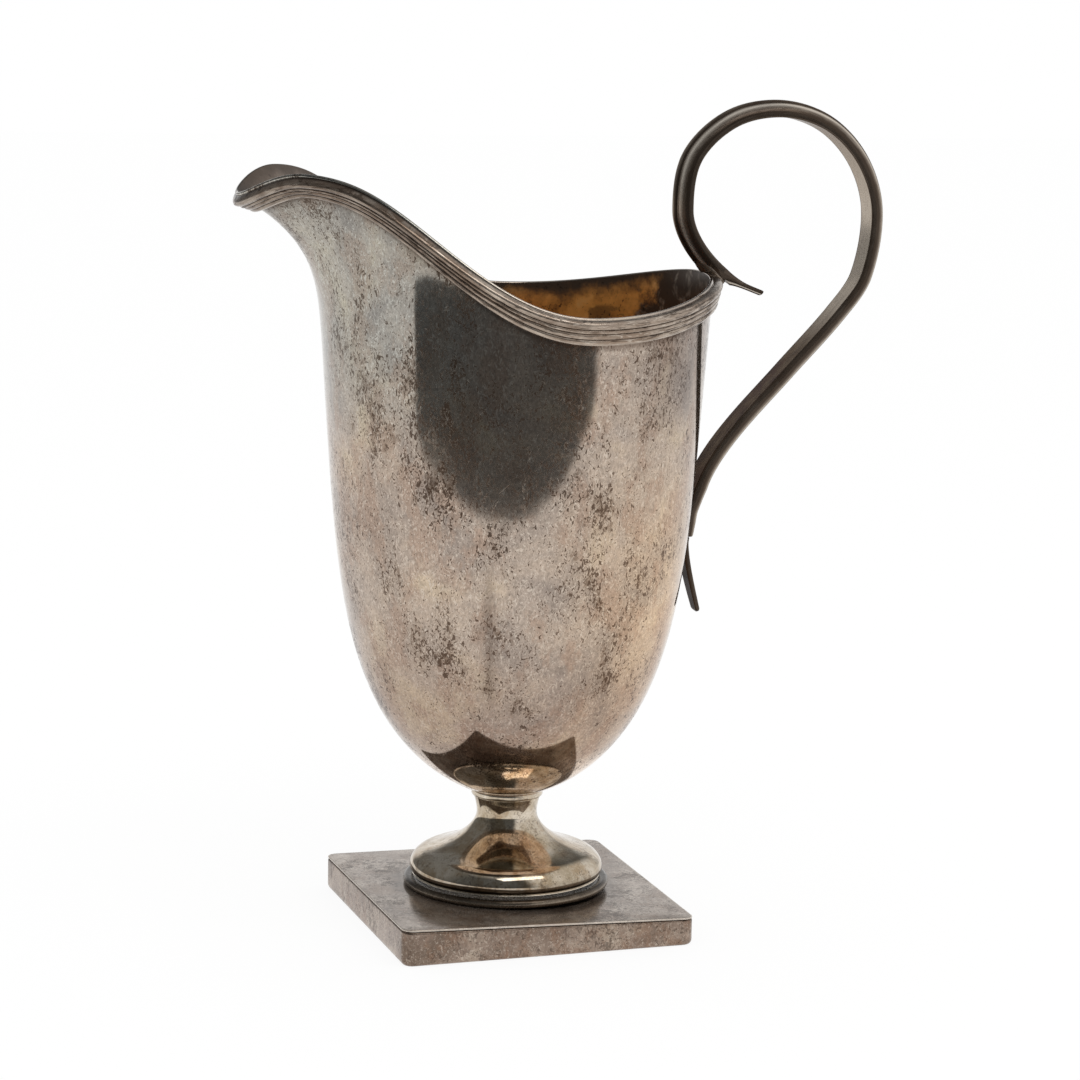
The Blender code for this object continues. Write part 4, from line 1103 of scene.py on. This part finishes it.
# Solder bead
# The bead of solder that joins the strap's outer face to the rim: a flattened ellipsoid in the angle between
# them, drawn out towards the loop, with the strap's tarnish.
BEAD_LENGTH = 3.6
BEAD_SHIFT = 1.0
BEAD_WIDTH = 2.7
BEAD_HEIGHT = 1.35
BEAD_DIRT = 0.45
BEAD_ROWS = 24
BEAD_STEPS = 48

bead_run = np.array([contact_towards[1], -contact_towards[0]])
bead_depth = STRAP_THICKNESS / 2.0 - RIM_SEAT_DEPTH + JOINT_GAP / 2.0
bead_middle = rim_contact - contact_towards * bead_depth - bead_run * BEAD_SHIFT
bead_down = np.linspace(0.0, np.pi, BEAD_ROWS)[:, None]
bead_round = np.linspace(0.0, 2.0 * np.pi, BEAD_STEPS, endpoint=False)[None, :]
bead_length = BEAD_LENGTH * np.sin(bead_down) * np.cos(bead_round)
bead_height = BEAD_HEIGHT * np.cos(bead_down)
bead_x = bead_middle[0] + bead_length * bead_run[0] + bead_height * contact_towards[0]
bead_y = BEAD_WIDTH * np.sin(bead_down) * np.sin(bead_round)
bead_z = bead_middle[1] + bead_length * bead_run[1] + bead_height * contact_towards[1]
bead_grid = np.stack([bead_x, bead_y, bead_z + bowl_base], axis=-1)
bead = surface("handle_solder_bead", bead_grid, [strap_silver], poles=True,
               marks={"hollow": BEAD_DIRT, "edge": 0.0, "along": bead_length, "across": bead_height})
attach(bead, "root")


# Handle tail
# A thin leaf below the strap, cut from the same wire with three reeds, which lies on the bowl at first and
# then curls away from it to a narrow tip.
TAIL_LENGTH = 13.1
TAIL_WIDTH = 4.2
TAIL_TIP_WIDTH = 3.0
TAIL_THICKNESS = 1.2
TAIL_TIP_THICKNESS = 0.9
TAIL_EDGE_SHARE = 0.85
TAIL_CURL = 4.9
TAIL_CURL_POWER = 1.35
TAIL_REEDS = 3
TAIL_GROOVE = 0.12
TAIL_ROOT = 0.9
TAIL_TIP_ROUNDING = 0.8
TAIL_WIDTH_POWER = 3
TAIL_INNER_SHARE = 0.92
TAIL_GROOVE_DIRT = 0.8
TAIL_GROOVE_DIRT_POWER = 1.5
TAIL_INNER_DIRT_AND_SHADE = 0.95
TAIL_ROWS = 90
TAIL_INNER_STEPS = 15

tail_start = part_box("handle_tail")[1][2] / MM - bowl_base
tail_share = np.linspace(-TAIL_ROOT / TAIL_LENGTH, 1.0, TAIL_ROWS)
tail_height = tail_start - TAIL_LENGTH * tail_share
tail_free = np.maximum(tail_share, 0.0)
tail_stand_off = JOINT_GAP + TAIL_THICKNESS / 2.0 + TAIL_CURL * tail_free ** TAIL_CURL_POWER
tail_path = np.stack([round_radius(tail_height) + tail_stand_off, tail_height], axis=-1)
tail_cap = round_end(TAIL_LENGTH * (1.0 - tail_share), TAIL_TIP_ROUNDING)
tail_ends = (tail_cap * np.where(tail_share == tail_share[0], 0.0, 1.0))[:, None]
tail_width = TAIL_WIDTH + (TAIL_TIP_WIDTH - TAIL_WIDTH) * tail_free ** TAIL_WIDTH_POWER
tail_width = tail_width[:, None] * tail_ends
tail_thick = TAIL_THICKNESS + (TAIL_TIP_THICKNESS - TAIL_THICKNESS) * tail_free
tail_thick = tail_thick[:, None] * tail_ends
tail_across, tail_dip = reeded_face(TAIL_REEDS)
tail_crown = tail_thick / 2.0 - tail_thick * (1.0 - TAIL_EDGE_SHARE) * (2.0 * tail_across) ** 2
tail_face = tail_crown - TAIL_GROOVE * tail_ends * tail_dip
tail_inner_share = np.linspace(-TAIL_INNER_SHARE, TAIL_INNER_SHARE, TAIL_INNER_STEPS)
tail_inner_across = tail_width / 2.0 * tail_inner_share
tail_inner = np.broadcast_to(-tail_thick / 2.0, tail_inner_across.shape)
tail_grid = sweep(tail_path, np.concatenate([tail_width * tail_across, tail_inner_across], axis=1),
                  np.concatenate([tail_face, tail_inner], axis=1))
# Dirt in the grooves, and dirt and painted shade on the inner face, which faces the bowl
tail_dirt_and_shade = np.concatenate([TAIL_GROOVE_DIRT * tail_dip ** TAIL_GROOVE_DIRT_POWER,
                            np.full(TAIL_INNER_STEPS, TAIL_INNER_DIRT_AND_SHADE)])
tail_lay = np.concatenate([TAIL_WIDTH * tail_across, tail_inner_across[0]])
handle_tail = surface("handle_tail_leaf", tail_grid + [0.0, 0.0, bowl_base], [strap_silver], poles=True,
                      marks={"hollow": tail_dirt_and_shade, "edge": 0.0, "along": tail_height[:, None],
                             "across": tail_lay})
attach(handle_tail, "root")
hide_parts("handle_tail")


# Studio
# A white table in a white room that is dark only behind the camera, as in a photographer's tent. The metal
# mirrors all of it, so the dark opening is what draws the shield on the bowl.
CAMERA_PLACE = (-146.829, -547.521, 165.432)
CAMERA_YAW = math.radians(14.652)
CAMERA_PITCH = math.radians(9.713)
CAMERA_ROLL = math.radians(1.068)
CAMERA_LENS = 107.9
WHITE = (1.0, 1.0, 1.0, 1.0)
DARK_ROOM = linear("#5b5e60")
FLOOR_REACH = 3000.0

scene = bpy.context.scene
scene.view_settings.view_transform = "Standard"

# The room: white for every ray, with the dark opening only where metal mirrors it
room = bpy.data.worlds.new("white_room")
scene.world = room
room.use_nodes = True
room_tree = room.node_tree
room_light = room_tree.nodes["Background"]
towards_camera = np.array([-math.sin(CAMERA_YAW), -math.cos(CAMERA_YAW)])
camera_right = np.array([math.cos(CAMERA_YAW), -math.sin(CAMERA_YAW)])
heading = add(room_tree, "TexCoord").outputs["Generated"]
ahead = add(room_tree, "VectorMath", {0: heading, 1: (*towards_camera, 0.0)}, operation="DOT_PRODUCT")
beside = add(room_tree, "VectorMath", {0: heading, 1: (*camera_right, 0.0)}, operation="DOT_PRODUCT")
azimuth = add(room_tree, "Math", {0: beside.outputs["Value"], 1: ahead.outputs["Value"]},
              operation="ARCTAN2").outputs[0]
around = add(room_tree, "Math", {0: azimuth}, operation="ABSOLUTE").outputs[0]
rise = add(room_tree, "SeparateXYZ", {0: heading}).outputs["Z"]
elevation = add(room_tree, "Math", {0: rise}, operation="ARCSINE").outputs[0]

# Its bright parts, each by steps of direction in degrees, from dark to full, and its brightness: a big panel
# to the camera's right, a backdrop that ends low, a dim left side and a grey ceiling
room_parts = ((((azimuth, 24.0, 44.0), (azimuth, 176.0, 138.0), (elevation, 70.0, 56.0)), 0.85),
              (((around, 142.0, 160.0), (elevation, 25.0, 15.0)), 1.0),
              (((azimuth, -55.0, -85.0),), 0.10),
              (((elevation, 55.0, 72.0),), 0.28))
white_share = 0.0
for direction_steps, part_share in room_parts:
    for angle, start, end in direction_steps:
        part_share = add(room_tree, "MapRange", {"Value": angle, "From Min": math.radians(start),
                                                 "From Max": math.radians(end), "To Max": part_share},
                         interpolation_type="SMOOTHSTEP").outputs[0]
    white_share = add(room_tree, "Math", {0: white_share, 1: part_share}, operation="MAXIMUM").outputs[0]
ray = add(room_tree, "LightPath")
mirrored = add(room_tree, "Mix", {0: white_share, 6: DARK_ROOM, 7: WHITE}, data_type="RGBA")
seen = add(room_tree, "Mix", {0: ray.outputs["Is Glossy Ray"], 6: WHITE, 7: mirrored.outputs[2]},
           data_type="RGBA")
room_tree.links.new(seen.outputs[2], room_light.inputs["Color"])
room_light.inputs["Strength"].default_value = 1.0

# A soft lamp high over the camera's right shoulder, which makes the glints
LAMP_AZIMUTH = math.radians(30.0)
LAMP_ELEVATION = math.radians(60.0)
LAMP_DISTANCE = 700.0
LAMP_AIM_HEIGHT = 60.0
LAMP_WIDTH = 560.0
LAMP_HEIGHT = 220.0
LAMP_RADIANCE = 2.2
lamp_plan = math.cos(LAMP_AZIMUTH) * towards_camera + math.sin(LAMP_AZIMUTH) * camera_right
lamp_from = np.array([*(math.cos(LAMP_ELEVATION) * lamp_plan), math.sin(LAMP_ELEVATION)])
lamp_data = bpy.data.lights.new("soft_lamp", "AREA")
lamp_data.shape = "RECTANGLE"
lamp_data.size = LAMP_WIDTH * MM
lamp_data.size_y = LAMP_HEIGHT * MM
lamp_data.energy = LAMP_RADIANCE * math.pi * LAMP_WIDTH * LAMP_HEIGHT * MM ** 2
lamp = bpy.data.objects.new("soft_lamp", lamp_data)
lamp.location = ((lamp_from * LAMP_DISTANCE + [0.0, 0.0, LAMP_AIM_HEIGHT]) * MM + [axis_x, 0.0, 0.0]).tolist()
lamp.rotation_euler = Vector(lamp_from).to_track_quat("Z", "Y").to_euler()
scene.collection.objects.link(lamp)


def stage_sheet(name, points, faces, coat):
    """A flat sheet of the stage from points in metres and faces of them."""
    mesh = bpy.data.meshes.new(name)
    mesh.from_pydata(points, [], faces)
    mesh.materials.append(coat)
    sheet = bpy.data.objects.new(name, mesh)
    scene.collection.objects.link(sheet)
    return sheet


# White paper: matt, lit as the room is, and nearly white in the metal and for the camera, which leaves the
# jug's shadow
PAPER_GLOW = 0.9
paper = bpy.data.materials.new("white_paper")
paper.use_nodes = True
paper_tree = paper.node_tree
paper_shader = paper_tree.nodes["Principled BSDF"]
paper_shader.inputs["Base Color"].default_value = linear("#fafafa")
paper_shader.inputs["Roughness"].default_value = 0.9
paper_shader.inputs["Specular IOR Level"].default_value = 0.0
paper_ray = add(paper_tree, "LightPath")
paper_seen = add(paper_tree, "Math", {0: paper_ray.outputs["Is Camera Ray"],
                                      1: paper_ray.outputs["Is Glossy Ray"]}, operation="MAXIMUM")
paper_share = add(paper_tree, "Math", {0: paper_seen.outputs[0], 1: PAPER_GLOW}, operation="MULTIPLY")
paper_glow = add(paper_tree, "Emission", {"Color": WHITE, "Strength": 1.0})
paper_mix = add(paper_tree, "MixShader", {0: paper_share.outputs[0], 1: paper_shader.outputs[0],
                                          2: paper_glow.outputs[0]})
paper_tree.links.new(paper_mix.outputs[0], paper_tree.nodes["Material Output"].inputs["Surface"])
reach = FLOOR_REACH * MM
stage_sheet("table", [(-reach, -reach, 0.0), (reach, -reach, 0.0), (reach, reach, 0.0), (-reach, reach, 0.0)],
            [(0, 1, 2, 3)], paper)

# Dark card: what lies beyond the table's front edge, seen only by the metal. Its edge is given by distances
# to the camera's right and towards the camera, and it fades in from there and from both its ends
CARD_EDGE = np.array([(-324.0, 196.0), (-312.0, 197.0), (-262.0, 206.0), (-190.0, 235.0), (-20.0, 247.0),
                      (110.0, 255.0), (240.0, 268.0), (285.0, 268.0), (345.0, 272.0)])
CARD_WAYS = np.array([0.0, 10.0, 50.0, FLOOR_REACH])
CARD_FADES = np.array([1.0, 0.08, 0.02, 0.0])
CARD_LIFT = 0.5
shade_card = bpy.data.materials.new("dark_card")
shade_card.use_nodes = True
card_tree = shade_card.node_tree
card_fade = add(card_tree, "Attribute", attribute_name="fade")
card_tone = add(card_tree, "Mix", {0: card_fade.outputs["Fac"], 6: DARK_ROOM, 7: WHITE}, data_type="RGBA")
card_glow = add(card_tree, "Emission", {"Color": card_tone.outputs[2], "Strength": 1.0})
card_tree.links.new(card_glow.outputs[0], card_tree.nodes["Material Output"].inputs["Surface"])
card_reach = 1.0 + CARD_WAYS[:, None] / CARD_EDGE[:, 1]
card_plan = CARD_EDGE[:, :1] * camera_right + CARD_EDGE[:, 1:] * towards_camera
card_plan = card_plan * card_reach[..., None] * MM + [axis_x, 0.0]
card_points = np.concatenate([card_plan, np.full((*card_reach.shape, 1), CARD_LIFT * MM)], axis=-1)
card_index = np.arange(card_reach.size).reshape(card_reach.shape)
card_faces = np.stack([card_index[:-1, :-1], card_index[:-1, 1:], card_index[1:, 1:], card_index[1:, :-1]],
                      axis=-1)
card = stage_sheet("dark_card", card_points.reshape(-1, 3).tolist(), card_faces.reshape(-1, 4).tolist(),
                   shade_card)
card_fades = np.tile(CARD_FADES[:, None], len(CARD_EDGE))
card_fades[:, [0, -1]] = 1.0
card_layer = card.data.attributes.new("fade", "FLOAT", "POINT")
card_layer.data.foreach_set("value", card_fades.reshape(-1))
card.visible_camera = False
card.visible_diffuse = False
card.visible_shadow = False
card.visible_transmission = False

# The camera: turned to the right, tilted down and rolled a little, as the photograph was taken
look = np.array([math.sin(CAMERA_YAW) * math.cos(CAMERA_PITCH),
                 math.cos(CAMERA_YAW) * math.cos(CAMERA_PITCH), -math.sin(CAMERA_PITCH)])
level_right = np.array([*camera_right, 0.0])
level_up = np.cross(level_right, look)
right = math.cos(CAMERA_ROLL) * level_right + math.sin(CAMERA_ROLL) * level_up
above = math.cos(CAMERA_ROLL) * level_up - math.sin(CAMERA_ROLL) * level_right
stand = np.eye(4)
stand[:3, 0] = right
stand[:3, 1] = above
stand[:3, 2] = -look
stand[:3, 3] = np.array(CAMERA_PLACE) * MM
camera_data = bpy.data.cameras.new("camera")
camera_data.lens = CAMERA_LENS
camera_data.sensor_width = 36.0
camera_data.clip_start = 0.01
camera = bpy.data.objects.new("camera", camera_data)
camera.matrix_world = Matrix(stand.tolist())
scene.collection.objects.link(camera)
scene.camera = camera
